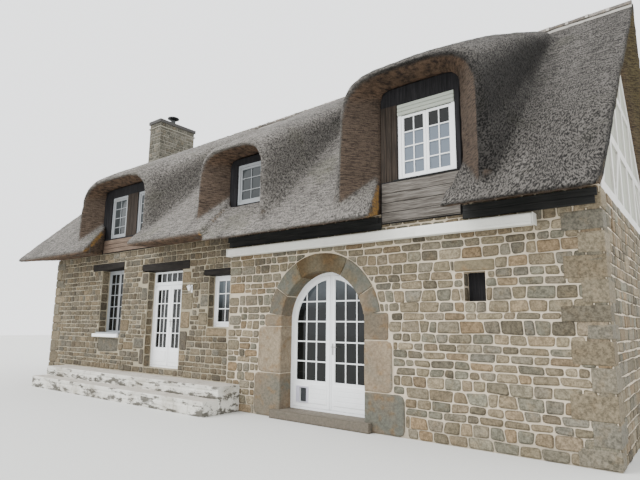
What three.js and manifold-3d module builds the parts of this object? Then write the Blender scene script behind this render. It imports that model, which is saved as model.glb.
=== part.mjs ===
// Thatched stone cottage: long low house, arched and glazed doors, three thatched dormers.
// Millimetres, +Z up. The plan is drawn from the middle of the arched door, with y running
// into the house from the front wall's face, and is moved to the house's middle at the end.
import * as THREE from 'three';
import Module from 'manifold-3d';

const wasm = await Module();
wasm.setup();

// Driving dimensions
const GAP = 0.3;                 // clearance between neighbours
const WALL = 550;                // thickness of the stone walls
const LEFT = -10010;             // outer face of the left gable
const RIGHT = 4430;              // outer face of the right gable
const DEPTH = 6600;              // front face to back face
const SOFFIT = 3480;             // underside of the thatch over the wall
const WALL_TOP = SOFFIT - GAP;   // top of the stone
const RIDGE_Y = DEPTH / 2;
const MIDDLE_X = (LEFT + RIGHT) / 2;
const RIDGE_Z = 7620;            // top of the thatch at the ridge, over the house's middle
const RIDGE_RISE = 0.0115;       // the old ridge climbs a little to the right
const EAVES_Y = -800;            // front edge of the thatch
const SPLIT_X = -2460;           // the left thatch lies higher than the right one
const THATCH_JOINTS = [-3950, -250];   // between the three lengths of the front thatch
const EAVES_LEFT = { top: 3500, tip: 3390 };
const EAVES_RIGHT = { top: 3310, tip: 3250 };
const VERGE_LEFT = -10900;
const VERGE_RIGHT = { eaves: 4550, ridge: 4790 };
const VERGE_EDGE = 150;          // the thatch thins to this past the gables
const UNDER = [[EAVES_Y, 0], [0, SOFFIT], [200, SOFFIT], [1000, 4681], [RIDGE_Y, 7060]];

const FLOOR_RIGHT = 145;         // floor inside the arched door
const FLOOR_LEFT = 620;          // floor inside the entrance door
const STEP_X = -2400;            // the floor steps up left of this line
const UPPER = { bottom: 3150, top: 3350 };

const ARCH = { x: -29.5, radius: 921.5, spring: 1700, sill: 150, depth: 288 };
const STONES = { ring: 1240, legLeft: -1520, legRight: 1420, legTop: 1620, deep: 400 };
const STEP_STONE = { half: 1060, front: -125 };   // the arched door's sill, before the wall
const ENTRANCE = { left: -5308, right: -3987, bottom: 650, top: 2880, depth: 188 };
const LEFT_WINDOW = { left: -7450, right: -6400, bottom: 1380, top: 3030, depth: 220 };
const SMALL_WINDOW = { left: -3067, right: -2394, bottom: 1600, top: 2680, depth: 180 };
const NICHE = { left: 2600, right: 2920, bottom: 2020, top: 2450, depth: 200 };
const BACK_WINDOWS = [{ left: -7450, right: -6400 }, { left: 300, right: 1350 }];
const BACK = { bottom: 1380, top: 3030, depth: 220 };
const LEAF = 60;                 // thickness of door leaves and frames
const CLEAR = 6;                 // clearance round what moves

// rim: edges and crown of the hood's mouth, 500 in front of the wall; shoulder: how far the
// crown drops at its sides; room: width and height of the dormer behind its front; full: how far
// the crown's line rises over a straight one
const DORMERS = {
  left: { rim: [-7850, -4930, 5300], room: [-7630, -5170, 5250], shoulder: 1000,
    windows: [[-7230, -6500], [-6000, -5300]], window: [3880, 5000],
    gap: [[-7450, -5150], [-6950, -5060]], apron: 3600 },
  middle: { rim: [-2880, -1120, 5180], room: [-2530, -1400, 5140], shoulder: 750,
    windows: [[-2300, -1560]], window: [4130, 4990], gap: null, apron: 3600 },
  right: { rim: [780, 3060, 5690], room: [1220, 2640, 5640], shoulder: 1000,
    windows: [[1545, 2545]], window: [4010, 5320],
    gap: [[1200, 2640], [1520, 2600]], apron: 3300, full: 100 },
};
const RIM_Y = -500;
const HOOD_FRONT = -560;
const NOSE_Y = -380;             // the hoods' rounded front edge ends here
const HOOD = { top: 120, side: 110, nose: 95, over: 60, spread: 300, flatten: 0.65, power: 3.8,
  cheek: 20, blend: 260 };
const NEAR_RIDGE = 3098;         // the hoods have died into the slope here
const STACK = { left: -9920, right: -9300, front: 2700, back: 4140, bottom: 6300, top: 8650 };
const DRIP = { below: 180, thick: 40, out: 30 };   // the stack's drip course, from its top
const COWL = [[0, 0], [115, 0], [115, 40], [80, 110], [80, 230], [205, 290], [205, 325], [0, 400]];
const LINTEL_DEEP = 260;
const LINTELS = {
  entrance: [-5580, -3740, 2880, 3080],
  left_window: [-7930, -6400, 3030, 3220],
  small_window: [-3240, -2400, 2680, 2820],
};
const LEAF_GLASS = { arch: 653, entrance: [1093, 2464], transom: [2633, 2840], head: 2556 };
const FLAP = { left: -723, right: -557, bottom: 279, top: 532 };
const FLAP_PLATE = { left: -802, right: -511, bottom: 269, top: 560, proud: 8 };
const HINGE = { r: 8, height: 40, out: 8 };   // knuckles stand this far inside the frame's face
const BEAM = { left: SPLIT_X + 20, right: RIGHT - 20, front: -60, bottom: 3330, top: 3430 };
const AWNING = { left: -2350, right: 3660, front: -185, bottom: 3015, top: 3181 };
const TERRACE = { left: -8900, right: -2000, top: 500, front: -550, step: 270, stepFront: -900 };

const COLOURS = {
  rubble: '#8f7b5f', granite: '#93836b', thatch: '#7d7770', ridge: '#a19b92', lintel: '#3b2e27',
  white: '#e4e6e8', glass: '#39424a', dark: '#2c2a29', board: '#8d857b', timber: '#d9dad4',
  infill: '#c3c7b2', awning: '#ddd9cf', terrace: '#b9b5ab', stack: '#7f7c64', slab: '#47464a',
  steel: '#9aa0a6', floor: '#8d8578', flap: '#3a3c40',
};

// Helpers
const house = new THREE.Group();
house.name = 'thatched_cottage';

function flat(geometry) {
  const g = geometry.clone();
  g.deleteAttribute('normal');
  g.deleteAttribute('uv');
  return g;
}

function solid(geometry) {
  const g = mergeVertices(flat(geometry));
  return new wasm.Manifold(new wasm.Mesh({
    numProp: 3,
    vertProperties: Float32Array.from(g.attributes.position.array),
    triVerts: Uint32Array.from(g.index.array),
  }));
}

function mergeVertices(g) {
  const p = g.attributes.position;
  const seen = new Map();
  const points = [];
  const map = [];
  for (let i = 0; i < p.count; i++) {
    const q = [p.getX(i), p.getY(i), p.getZ(i)].map((v) => Math.round(v * 1000) / 1000);
    const key = q.join(',');
    if (!seen.has(key)) {
      seen.set(key, seen.size);
      points.push(...q);
    }
    map.push(seen.get(key));
  }
  const source = g.index ? Array.from(g.index.array) : map.map((_, i) => i);
  const index = [];
  for (let i = 0; i < source.length; i += 3) {
    const [a, b, c] = [map[source[i]], map[source[i + 1]], map[source[i + 2]]];
    if (a !== b && b !== c && c !== a) index.push(a, b, c);
  }
  const out = new THREE.BufferGeometry();
  out.setAttribute('position', new THREE.Float32BufferAttribute(points, 3));
  out.setIndex(index);
  return out;
}

function geometryOf(manifold) {
  const mesh = manifold.getMesh();
  const g = new THREE.BufferGeometry();
  g.setAttribute('position', new THREE.Float32BufferAttribute(mesh.vertProperties, 3));
  g.setIndex(Array.from(mesh.triVerts));
  return g;
}

function add(name, body, colour, roughness = 0.9, metalness = 0) {
  const geometry = body.getMesh ? geometryOf(body) : body;
  const material = new THREE.MeshStandardMaterial({ color: colour, roughness, metalness });
  material.name = `${name}_material`;
  const mesh = new THREE.Mesh(geometry, material);
  mesh.name = name;
  house.add(mesh);
  return mesh;
}

// Box between two corners, as a manifold.
function box(x0, x1, y0, y1, z0, z1) {
  const g = new THREE.BoxGeometry(x1 - x0, y1 - y0, z1 - z0);
  g.translate((x0 + x1) / 2, (y0 + y1) / 2, (z0 + z1) / 2);
  return solid(g);
}

function shapeOf(points) {
  return new THREE.Shape(points.map(([a, b]) => new THREE.Vector2(a, b)));
}

// Outline in x and z, pushed from y0 to y1.
function acrossY(points, y0, y1) {
  const g = new THREE.ExtrudeGeometry(shapeOf(points), { depth: y1 - y0, bevelEnabled: false });
  g.rotateX(Math.PI / 2);
  g.translate(0, y1, 0);
  return solid(g);
}

// Outline in y and z, pushed from x0 to x1.
function acrossX(points, x0, x1) {
  const g = new THREE.ExtrudeGeometry(shapeOf(points), { depth: x1 - x0, bevelEnabled: false });
  g.rotateX(Math.PI / 2);
  g.rotateZ(Math.PI / 2);
  g.translate(x0, 0, 0);
  return solid(g);
}

const union = (list) => list.reduce((a, b) => a.add(b));
const cut = (body, ...tools) => tools.reduce((a, b) => a.subtract(b), body);

// Ring of four bars round an opening, drawn in x and z.
function ring(x0, x1, z0, z1, bar, y0, y1) {
  return cut(box(x0, x1, y0, y1, z0, z1), box(x0 + bar, x1 - bar, y0 - 5, y1 + 5, z0 + bar, z1 - bar));
}

function hole(o, y0 = -10, y1 = WALL + 10) {
  return box(o.left, o.right, y0, y1, o.bottom, o.top);
}

// Half-round headed outline, from z0 up to the arch of the given radius.
function archOutline(radius, z0, from = -radius, to = radius, steps = 20) {
  const a0 = Math.acos(Math.min(1, to / radius));
  const a1 = Math.acos(Math.max(-1, from / radius));
  const points = [[ARCH.x + from, z0], [ARCH.x + to, z0]];
  for (let i = 0; i <= steps; i++) {
    const a = a0 + ((a1 - a0) * i) / steps;
    points.push([ARCH.x + radius * Math.cos(a), ARCH.spring + radius * Math.sin(a)]);
  }
  return points;
}

// Walls
function stonesOutline(grow) {
  const legs = acrossY([
    [STONES.legLeft - grow, 0], [STONES.legRight + grow, 0],
    [STONES.legRight + grow, STONES.legTop + grow], [STONES.legLeft - grow, STONES.legTop + grow],
  ], -20, WALL + 20);
  return legs.add(acrossY(archOutline(STONES.ring + grow, 100), -20, WALL + 20));
}

function buildFrontWalls() {
  const openings = stonesOutline(GAP);
  const entrance = ENTRANCE;
  const left = cut(
    box(LEFT, entrance.left, 0, WALL, 0, WALL_TOP), hole(LEFT_WINDOW),
    grown(LINTELS.left_window), grown(LINTELS.entrance));
  add('wall_front_left', left, COLOURS.rubble);

  const middle = cut(
    box(entrance.left + GAP, ARCH.x - 1000, 0, WALL, 0, WALL_TOP),
    box(entrance.left - 10, entrance.right, -10, WALL + 10, entrance.bottom - GAP, WALL_TOP + 10),
    hole(SMALL_WINDOW), grown(LINTELS.small_window), grown(LINTELS.entrance), openings);
  add('wall_front_middle', middle, COLOURS.rubble);

  const over = cut(
    box(entrance.left + GAP, entrance.right - GAP, 0, WALL, entrance.top, WALL_TOP),
    grown(LINTELS.entrance));
  add('wall_over_entrance', over, COLOURS.rubble);

  const right = cut(
    box(ARCH.x + 1000, RIGHT, 0, WALL, 0, WALL_TOP), openings,
    box(NICHE.left, NICHE.right, -10, NICHE.depth, NICHE.bottom, NICHE.top));
  add('wall_front_right', right, COLOURS.rubble);

  const overArch = cut(
    box(ARCH.x - 1000 + GAP, ARCH.x + 1000 - GAP, 0, WALL, 1800, WALL_TOP), openings);
  add('wall_over_arch', overArch, COLOURS.rubble);
}

// Housing for a lintel, a hair larger than the lintel itself.
function grown([x0, x1, z0, z1]) {
  return box(x0 - GAP, x1 + GAP, -20, LINTEL_DEEP + GAP, z0 - GAP, z1 + GAP);
}

function buildOtherWalls() {
  const back = cut(
    box(LEFT, RIGHT, DEPTH - WALL, DEPTH, 0, WALL_TOP),
    ...BACK_WINDOWS.map((w) => box(w.left, w.right, DEPTH - WALL - 10, DEPTH + 10, BACK.bottom, BACK.top)));
  add('wall_back', back, COLOURS.rubble);

  const y0 = WALL + GAP;
  const y1 = DEPTH - y0;
  const top = gableTop(0.5, SOFFIT + GAP);
  add('gable_left', acrossX([[y0, 0], [y1, 0], [y1, SOFFIT + GAP], ...top, [y0, SOFFIT + GAP]],
    LEFT, LEFT + WALL), COLOURS.rubble);
  add('gable_right', box(RIGHT - WALL, RIGHT, y0, y1, 0, WALL_TOP), COLOURS.rubble);
  add('gable_infill', acrossX(top, RIGHT - 230, RIGHT - 30), COLOURS.infill, 0.8);
  add('gable_timbers', gableTimbers(), COLOURS.timber, 0.7);
}

// Roof line of a gable, this far under the thatch, from back to front.
function gableTop(drop, base) {
  const half = UNDER.slice(1).map(([y, z]) => [y, z - drop]).slice(1);
  const foot = half[0][0] + (base - half[0][1]) / 1.5;
  half[0] = [foot, base];
  return [...half.map(([y, z]) => [DEPTH - y, z]), ...half.slice(0, -1).reverse()];
}

// White timbers on the face of the right gable: rafters, ties, posts and braces, fused.
function gableTimbers() {
  const face = RIGHT - 30 + GAP;
  const sheet = (points) => acrossX(points, face, face + 26);
  const edge = gableTop(22, SOFFIT + 1);
  const rafters = cut(sheet(edge), acrossX(gableTop(340, SOFFIT - 40), RIGHT - 40, RIGHT + 10));
  const bar = (ya, za, yb, zb, w) => {
    const d = new THREE.Vector2(yb - ya, zb - za).normalize().multiplyScalar(w / 2);
    return sheet([[ya - d.y, za + d.x], [ya + d.y, za - d.x], [yb + d.y, zb - d.x], [yb - d.y, zb + d.x]]);
  };
  const [low, middle, high] = [3560, 4600, 5660];
  const bars = [[low, 150], [middle, 150], [high, 130]].map(([z, w]) => bar(0, z, DEPTH, z, w));
  for (const out of [0, 900, 1800]) {
    for (const y of out ? [RIDGE_Y - out, RIDGE_Y + out] : [RIDGE_Y]) {
      bars.push(bar(y, low, y, middle, 130));
      if (out < 1000) bars.push(bar(y, middle, y, high, 120));
    }
  }
  bars.push(bar(RIDGE_Y, high, RIDGE_Y, 6800, 120));
  for (const side of [-1, 1]) bars.push(bar(RIDGE_Y + side * 1700, low, RIDGE_Y + side * 950, middle, 110));
  return union([rafters, ...bars]).intersect(acrossX(edge, RIGHT - 60, RIGHT + 40));
}

function buildFloors() {
  const x0 = LEFT + WALL + GAP;
  const x1 = RIGHT - WALL - GAP;
  const y0 = WALL + GAP;
  const y1 = DEPTH - WALL - GAP;
  const ground = box(x0, x1, y0, y1, 0, FLOOR_RIGHT).add(box(x0, STEP_X, y0, y1, 0, FLOOR_LEFT));
  add('ground_floor', ground, COLOURS.floor);
  add('upper_floor', box(x0, x1, y0, y1, UPPER.bottom, UPPER.top), COLOURS.floor);
}

// Roof
function under(y, tip) {
  const rows = UNDER.map(([a, b]) => [a, b || tip]);
  for (let i = 1; i < rows.length; i++) {
    if (y <= rows[i][0]) {
      const t = (y - rows[i - 1][0]) / (rows[i][0] - rows[i - 1][0]);
      return rows[i - 1][1] + t * (rows[i][1] - rows[i - 1][1]);
    }
  }
  return rows[rows.length - 1][1];
}

const ridgeAt = (x) => RIDGE_Z + RIDGE_RISE * (x - MIDDLE_X);

function slopeTop(x, y, eaves) {
  return eaves.top + ((ridgeAt(x) - eaves.top) * (y - EAVES_Y)) / (RIDGE_Y - EAVES_Y);
}

// Drop of a round-shouldered crown at a distance from its middle.
function sag(distance, half, shoulder) {
  const t = distance / half;
  if (t >= 1) return shoulder + HOOD.cheek * (distance - half);
  return shoulder * (1 - (1 - t ** HOOD.power) ** (1 / HOOD.power));
}

// 1 at the front edge of a hood, 0 from where its rounded nose ends.
const nose = (y) => Math.max(0, Math.min(1, (NOSE_Y - y) / (NOSE_Y - HOOD_FRONT))) ** 2;

// Half width of a hood's outside, which spreads towards the ridge.
function hoodHalf(y, dormer) {
  const [a, b] = dormer.rim;
  return (b - a) / 2 + HOOD.side * (1 - nose(y)) + (HOOD.spread * (y - RIM_Y)) / (RIDGE_Y - RIM_Y);
}

// Top of a hood: a flatter slope than the roof's, from the mouth up to the ridge.
function hoodTop(x, y, dormer) {
  const [a, b, top] = dormer.rim;
  const front = top + HOOD.top;
  const share = (y - RIM_Y) / (RIDGE_Y - RIM_Y);
  const line = front + (ridgeAt(x) + HOOD.over - front) * share
    + (dormer.full || 0) * Math.sin(Math.PI * Math.max(0, share));
  const crown = Math.min(line, ridgeAt(x) - 100) - HOOD.nose * nose(y);
  const shoulder = dormer.shoulder * (1 - HOOD.flatten * share);
  return crown - sag(Math.abs(x - (a + b) / 2), hoodHalf(y, dormer), shoulder);
}

// The higher of two heights, with a soft valley between them.
function softMax(a, b, k) {
  const h = Math.max(k - Math.abs(a - b), 0);
  return Math.max(a, b) + (k > 0 ? (h * h) / (4 * k) : 0);
}

function thatchTop(x, y, eaves) {
  let z = slopeTop(x, y, eaves);
  if (y < HOOD_FRONT || y >= NEAR_RIDGE) return z;
  const blend = HOOD.blend * Math.min(1, (NEAR_RIDGE - y) / 1400);
  for (const dormer of Object.values(DORMERS)) z = softMax(z, hoodTop(x, y, dormer), blend);
  return z;
}

// Past the gables the underside climbs, so that the verge is a thin edge.
function thatchUnder(x, y, eaves, top) {
  const right = (x - RIGHT - 5) / (vergeX(y) - RIGHT - 5);
  const left = (LEFT - 5 - x) / (LEFT - 5 - VERGE_LEFT);
  const out = Math.min(1, Math.max(0, right, left));
  const base = under(y, eaves.tip);
  return base + out * Math.max(0, top - VERGE_EDGE - base);
}

// Closed solid between two height functions, over lines that give x at each of the ys.
function gridSolid(lines, ys, top, bottom) {
  const nx = lines.length;
  const ny = ys.length;
  const position = [];
  for (const level of [top, bottom]) {
    for (const line of lines) for (const y of ys) position.push(line(y), y, level(line(y), y));
  }
  const at = (i, j, k) => k * nx * ny + i * ny + j;
  const index = [];
  const quad = (a, b, c, d) => index.push(a, b, c, a, c, d);
  for (let i = 0; i < nx - 1; i++) {
    for (let j = 0; j < ny - 1; j++) {
      quad(at(i, j, 0), at(i + 1, j, 0), at(i + 1, j + 1, 0), at(i, j + 1, 0));
      quad(at(i, j, 1), at(i, j + 1, 1), at(i + 1, j + 1, 1), at(i + 1, j, 1));
    }
  }
  for (let i = 0; i < nx - 1; i++) {
    quad(at(i, 0, 0), at(i, 0, 1), at(i + 1, 0, 1), at(i + 1, 0, 0));
    quad(at(i, ny - 1, 0), at(i + 1, ny - 1, 0), at(i + 1, ny - 1, 1), at(i, ny - 1, 1));
  }
  for (let j = 0; j < ny - 1; j++) {
    quad(at(0, j, 0), at(0, j + 1, 0), at(0, j + 1, 1), at(0, j, 1));
    quad(at(nx - 1, j, 0), at(nx - 1, j, 1), at(nx - 1, j + 1, 1), at(nx - 1, j + 1, 0));
  }
  const g = new THREE.BufferGeometry();
  g.setAttribute('position', new THREE.Float32BufferAttribute(position, 3));
  g.setIndex(index);
  return solid(g);
}

// Lines along a hood, each a function of y that gives x.
function hoodLines(dormer) {
  const middle = (dormer.rim[0] + dormer.rim[1]) / 2;
  const shares = [0, 0.45, 0.7, 0.86, 0.95, 0.99].map((t) => (y) => t * hoodHalf(y, dormer));
  const beyond = [20, 130, 380].map((d) => (y) => hoodHalf(y, dormer) + d);
  const outward = [...shares, ...beyond];
  return [...outward.slice(1).map((f) => (y) => middle - f(y)), ...outward.map((f) => (y) => middle + f(y))];
}

function thatchFront(x0, x1, eaves, dormer) {
  const ends = [() => x0, x1 === VERGE_RIGHT.eaves ? vergeX : () => x1];
  if (x0 === VERGE_LEFT) ends.push(() => LEFT - 5);
  if (x1 === VERGE_RIGHT.eaves) ends.push(() => RIGHT + 5);
  const fits = (x) => x > x0 + 20 && x < x1 - 20;
  const inner = hoodLines(dormer).filter((f) => fits(f(RIDGE_Y)) && fits(f(EAVES_Y)));
  const lines = [...ends, ...inner].sort((f, g) => f(0) - g(0));
  const ys = [EAVES_Y, HOOD_FRONT - 1, HOOD_FRONT + 1, -480, NOSE_Y, 0, 200, 600, 1000, 1550, 2100,
    2550, 2900, NEAR_RIDGE, RIDGE_Y - GAP];
  const top = (x, y) => thatchTop(x, y, eaves);
  const body = gridSolid(lines, ys, top, (x, y) => thatchUnder(x, y, eaves, top(x, y)));
  return cut(body, ...dormerTools(dormer, eaves));
}

function vergeX(y) {
  const t = Math.min(1, (y - EAVES_Y) / (RIDGE_Y - EAVES_Y));
  return VERGE_RIGHT.eaves + (VERGE_RIGHT.ridge - VERGE_RIGHT.eaves) * t;
}

// Loop of a dormer opening at one depth: straight sides under a round-shouldered crown.
function openingLoop([x0, x1, top], bottom, y, shoulder) {
  const middle = (x0 + x1) / 2;
  const half = (x1 - x0) / 2;
  const crown = [1, 0.985, 0.94, 0.86, 0.72, 0.45, 0];
  const turns = [...crown, ...crown.slice(0, -1).reverse().map((t) => -t)];
  const arch = turns.map((t) => [middle + t * half, top - sag(Math.abs(t) * half, half, shoulder)]);
  return [[x0, bottom], [x1, bottom], ...arch].map(([x, z]) => [x, y, z]);
}

function loft(a, b) {
  const n = a.length;
  const index = [];
  for (let i = 1; i < n - 1; i++) {
    index.push(0, i, i + 1);
    index.push(n, n + i + 1, n + i);
  }
  for (let i = 0; i < n; i++) {
    const j = (i + 1) % n;
    index.push(i, n + i, n + j, i, n + j, j);
  }
  const g = new THREE.BufferGeometry();
  g.setAttribute('position', new THREE.Float32BufferAttribute([...a, ...b].flat(), 3));
  g.setIndex(index);
  return solid(g);
}

// What a dormer takes out of the thatch: its room, the flared mouth, the gap in the eaves.
function dormerTools(dormer, eaves) {
  const [r0, r1, rTop] = dormer.room;
  const peak = UNDER[UNDER.length - 1][1];
  const low0 = SOFFIT - 20;
  const deep = RIDGE_Y - 10;
  const room = acrossX([[0, low0], [deep, low0], [deep, peak], [0, rTop]], r0, r1);
  const low = slopeTop((r0 + r1) / 2, 0, eaves);
  const inside = openingLoop(dormer.room, low, 1, dormer.shoulder / 3);
  const k = 2;
  const grow = (i) => dormer.room[i] + (dormer.rim[i] - dormer.room[i]) * k;
  const outside = openingLoop([grow(0), grow(1), grow(2)], slopeTop(r0, RIM_Y * k, eaves) + 4, RIM_Y * k,
    dormer.shoulder * (k - 1 / 3));
  const tools = [room, loft(outside, inside)];
  if (dormer.gap) {
    const [[a0, a1], [b0, b1]] = dormer.gap;
    tools.push(prismZ([[a0, 2], [b0, -900], [b1, -900], [a1, 2]], 2900, low + 10));
  }
  return tools;
}

// Outline in x and y, pushed from z0 to z1.
function prismZ(points, z0, z1) {
  const g = new THREE.ExtrudeGeometry(shapeOf(points), { depth: z1 - z0, bevelEnabled: false });
  g.translate(0, 0, z0);
  return solid(g);
}

function buildRoof() {
  const shaft = box(STACK.left - 0.4, STACK.right + 0.4, STACK.front - 0.4, STACK.back + 0.4, 5000, 9000);
  const { left, middle, right } = DORMERS;
  const fronts = {
    left: cut(thatchFront(VERGE_LEFT, THATCH_JOINTS[0], EAVES_LEFT, left), shaft),
    middle: thatchFront(THATCH_JOINTS[0] + GAP, SPLIT_X, EAVES_LEFT, middle)
      .add(thatchFront(SPLIT_X, THATCH_JOINTS[1] - GAP, EAVES_RIGHT, middle)),
    right: thatchFront(THATCH_JOINTS[1], VERGE_RIGHT.eaves, EAVES_RIGHT, right),
  };
  for (const [side, body] of Object.entries(fronts)) add(`thatch_front_${side}`, body, COLOURS.thatch, 1);
  const flip = (y) => DEPTH - y;
  const lines = [() => VERGE_LEFT, () => LEFT - 5, () => RIGHT + 5, (y) => vergeX(flip(y))];
  const ys = [EAVES_Y, 0, 200, 1000, RIDGE_Y - GAP].map(flip).reverse();
  const top = (x, y) => slopeTop(x, flip(y), EAVES_RIGHT);
  const back = gridSolid(lines, ys, top, (x, y) => thatchUnder(x, flip(y), EAVES_RIGHT, top(x, y)));
  add('thatch_back', cut(back, shaft), COLOURS.thatch, 1);
  buildRidge();
}

// Ridge of bedded tiles, in two lengths on either side of the chimney.
function buildRidge() {
  const profile = [[-200, -186], [-190, -110], [-110, 60], [0, 120], [110, 60], [190, -110], [200, -186],
    [0, 0.6]].map(([y, dz]) => [RIDGE_Y + y, RIDGE_Z + dz]);
  const climb = new THREE.Matrix4().set(1, 0, 0, 0, 0, 1, 0, 0, RIDGE_RISE, 0, 1, -RIDGE_RISE * MIDDLE_X,
    0, 0, 0, 1);
  const lengths = { ridge_cap: [STACK.right + 1, VERGE_RIGHT.ridge - 20],
    ridge_cap_left: [VERGE_LEFT + 20, STACK.left - 1] };
  for (const [name, [x0, x1]] of Object.entries(lengths)) {
    const cap = geometryOf(acrossX(profile, x0, x1));
    cap.applyMatrix4(climb);
    add(name, solid(cap), COLOURS.ridge, 0.9);
  }
}

// Doors and windows
function sheetIn(x0, x1, z0, z1, y) {
  return box(x0 + GAP, x1 - GAP, y, y + 12, z0 + GAP, z1 - GAP);
}

function windowUnit(name, o, bar, sill = null) {
  const y = o.depth;
  let frame = ring(o.left + GAP, o.right - GAP, o.bottom + GAP, o.top - GAP, bar, y, y + LEAF);
  if (sill) frame = frame.add(box(o.left + GAP, o.right - GAP, -60, y + 5, o.bottom + GAP, o.bottom + 41));
  add(`${name}_frame`, frame, COLOURS.white, 0.45);
  const inner = [o.left + GAP + bar, o.right - GAP - bar, o.bottom + GAP + bar, o.top - GAP - bar];
  add(`${name}_glass`, sheetIn(...inner, y + 24), COLOURS.glass, 0.1);
}

function buildWindows() {
  windowUnit('left_window', LEFT_WINDOW, 60, true);
  windowUnit('small_window', SMALL_WINDOW, 60);
  BACK_WINDOWS.forEach((w, i) => {
    const frame = ring(w.left + GAP, w.right - GAP, BACK.bottom + GAP, BACK.top - GAP, 60,
      DEPTH - 280, DEPTH - 220);
    const pane = box(w.left + 50, w.right - 50, DEPTH - 256, DEPTH - 244, BACK.bottom + 50, BACK.top - 50);
    add(`back_window_${i + 1}`, frame.add(pane), COLOURS.white, 0.45);
  });
}

function buildLintels() {
  for (const [name, [x0, x1, z0, z1]] of Object.entries(LINTELS)) {
    add(`lintel_${name}`, box(x0, x1, -12, LINTEL_DEEP, z0, z1), COLOURS.lintel, 0.85);
  }
}

function buildDormer(side, dormer) {
  const [r0, r1, rTop] = dormer.room;
  const [z0, z1] = dormer.window;
  const first = dormer.windows[0][0];
  const last = dormer.windows[dormer.windows.length - 1][1];
  const front = cut(
    box(r0 + GAP, r1 - GAP, 20, 120, SOFFIT, rTop - GAP),
    box(first, last, 10, 130, z0, z1));
  const parts = [front];
  if (dormer.gap) {
    const [[a0, a1]] = dormer.gap;
    const [b0, b1] = [Math.max(a0 + 45, r0 + GAP), Math.min(a1 - 15, r1 - GAP)];
    parts.push(box(b0, b1, -40, -22, dormer.apron, z0 - 10));
    parts.push(box(b0, b1, -30, 30, SOFFIT + 30, z0 - 10));
  }
  add(`dormer_${side}_front`, union(parts), COLOURS.dark, 0.8);
  const frames = cut(
    box(first + GAP, last - GAP, 30, 90, z0 + GAP, z1 - GAP),
    ...dormer.windows.map(([a, b]) => box(a + 56, b - 56, 20, 100, z0 + 56, z1 - 56)));
  const slot = box(first + 40, last - 40, 62, 80, z0 + 40, z1 - 40);
  add(`dormer_${side}_frame`, cut(frames, slot), COLOURS.white, 0.45);
  add(`dormer_${side}_glass`, sheetIn(first + 40, last - 40, z0 + 40, z1 - 40, 64), COLOURS.glass, 0.1);
}

function archFrame() {
  const outer = acrossY(archOutline(ARCH.radius - GAP, ARCH.sill), ARCH.depth, ARCH.depth + 70);
  const inner = acrossY(archOutline(ARCH.radius - 56, ARCH.sill + 40), ARCH.depth - 9, ARCH.depth + 80);
  return cut(outer, inner);
}

function archLeaf(sign) {
  const r = ARCH.radius - 56 - CLEAR;
  const y0 = ARCH.depth + 4;
  const y1 = y0 + LEAF;
  const z0 = ARCH.sill + 46;
  const span = sign < 0 ? [-r, -3] : [3, r];
  const leaf = acrossY(archOutline(r, z0, ...span), y0, y1);
  const pane = [sign < 0 ? -r + 62 : 88, sign < 0 ? -88 : r - 62];
  const glassHole = acrossY(archOutline(r - 62, LEAF_GLASS.arch, ...pane), y0 - 9, y1 + 9);
  const glass = acrossY(archOutline(r - 62 - GAP, LEAF_GLASS.arch + GAP, pane[0] + GAP, pane[1] - GAP),
    y0 + 24, y0 + 36);
  return { leaf: cut(leaf, glassHole), glass };
}

// Knuckles of one leaf, stacked on the frame's: sign is -1 for a leaf hung on its left.
function knuckles(axisX, faceY, frontY, sign, heights) {
  const y = faceY + HINGE.out;
  const inward = -sign;
  const barrel = (z) => {
    const g = new THREE.CylinderGeometry(HINGE.r, HINGE.r, HINGE.height, 12);
    g.rotateX(Math.PI / 2);
    g.translate(axisX, y, z + HINGE.height / 2);
    return solid(g);
  };
  const plate = (xa, xb, y0, z) => box(Math.min(xa, xb), Math.max(xa, xb), y0, y, z, z + HINGE.height);
  const fixed = heights.map((z) => barrel(z).add(plate(axisX, axisX - inward * 24, faceY - 2, z)));
  const hung = heights.map((z) => barrel(z + HINGE.height + GAP)
    .add(plate(axisX + inward * 6, axisX + inward * 22, frontY + LEAF - 2, z + HINGE.height + GAP)));
  return { fixed: union(fixed), hung: union(hung) };
}

function buildArch() {
  const ringStones = cut(
    stonesOutline(0).intersect(box(-3000, 3000, -6, STONES.deep, 0, 4000)),
    acrossY(archOutline(ARCH.radius, -50), -50, STONES.deep + 50));
  add('arch_stones', ringStones, COLOURS.granite);
  const half = ARCH.radius - GAP;
  const sillTop = ARCH.sill - GAP;
  const out = STEP_STONE.half;
  const step = box(ARCH.x - out, ARCH.x + out, STEP_STONE.front, -6 - GAP, 0, sillTop);
  const sill = box(ARCH.x - half, ARCH.x + half, -20, WALL, 0, sillTop);
  add('arch_door_sill', sill.add(step), COLOURS.granite);
  let frame = archFrame();
  for (const [side, sign] of [['left', -1], ['right', 1]]) {
    const hinge = knuckles(ARCH.x + sign * (ARCH.radius - 59), ARCH.depth + 70, ARCH.depth + 4, sign,
      [380, 960, 1540]);
    frame = frame.add(hinge.fixed);
    const { leaf, glass } = archLeaf(sign);
    const hung = leaf.add(hinge.hung);
    add(`arch_leaf_${side}`, sign < 0 ? withFlapOpening(hung) : hung, COLOURS.white, 0.45);
    add(`arch_glass_${side}`, glass, COLOURS.glass, 0.1);
  }
  add('arch_frame', frame, COLOURS.white, 0.45);
  add('cat_flap', catFlap(), COLOURS.flap, 0.4);
}

// The left leaf carries the flap's plate, and both are cut through.
function withFlapOpening(leaf) {
  const face = ARCH.depth + 4;
  const p = FLAP_PLATE;
  const plate = box(p.left, p.right, face - p.proud, face + 5, p.bottom, p.top);
  return cut(leaf.add(plate), box(FLAP.left, FLAP.right, face - 20, face + 80, FLAP.bottom, FLAP.top));
}

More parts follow.
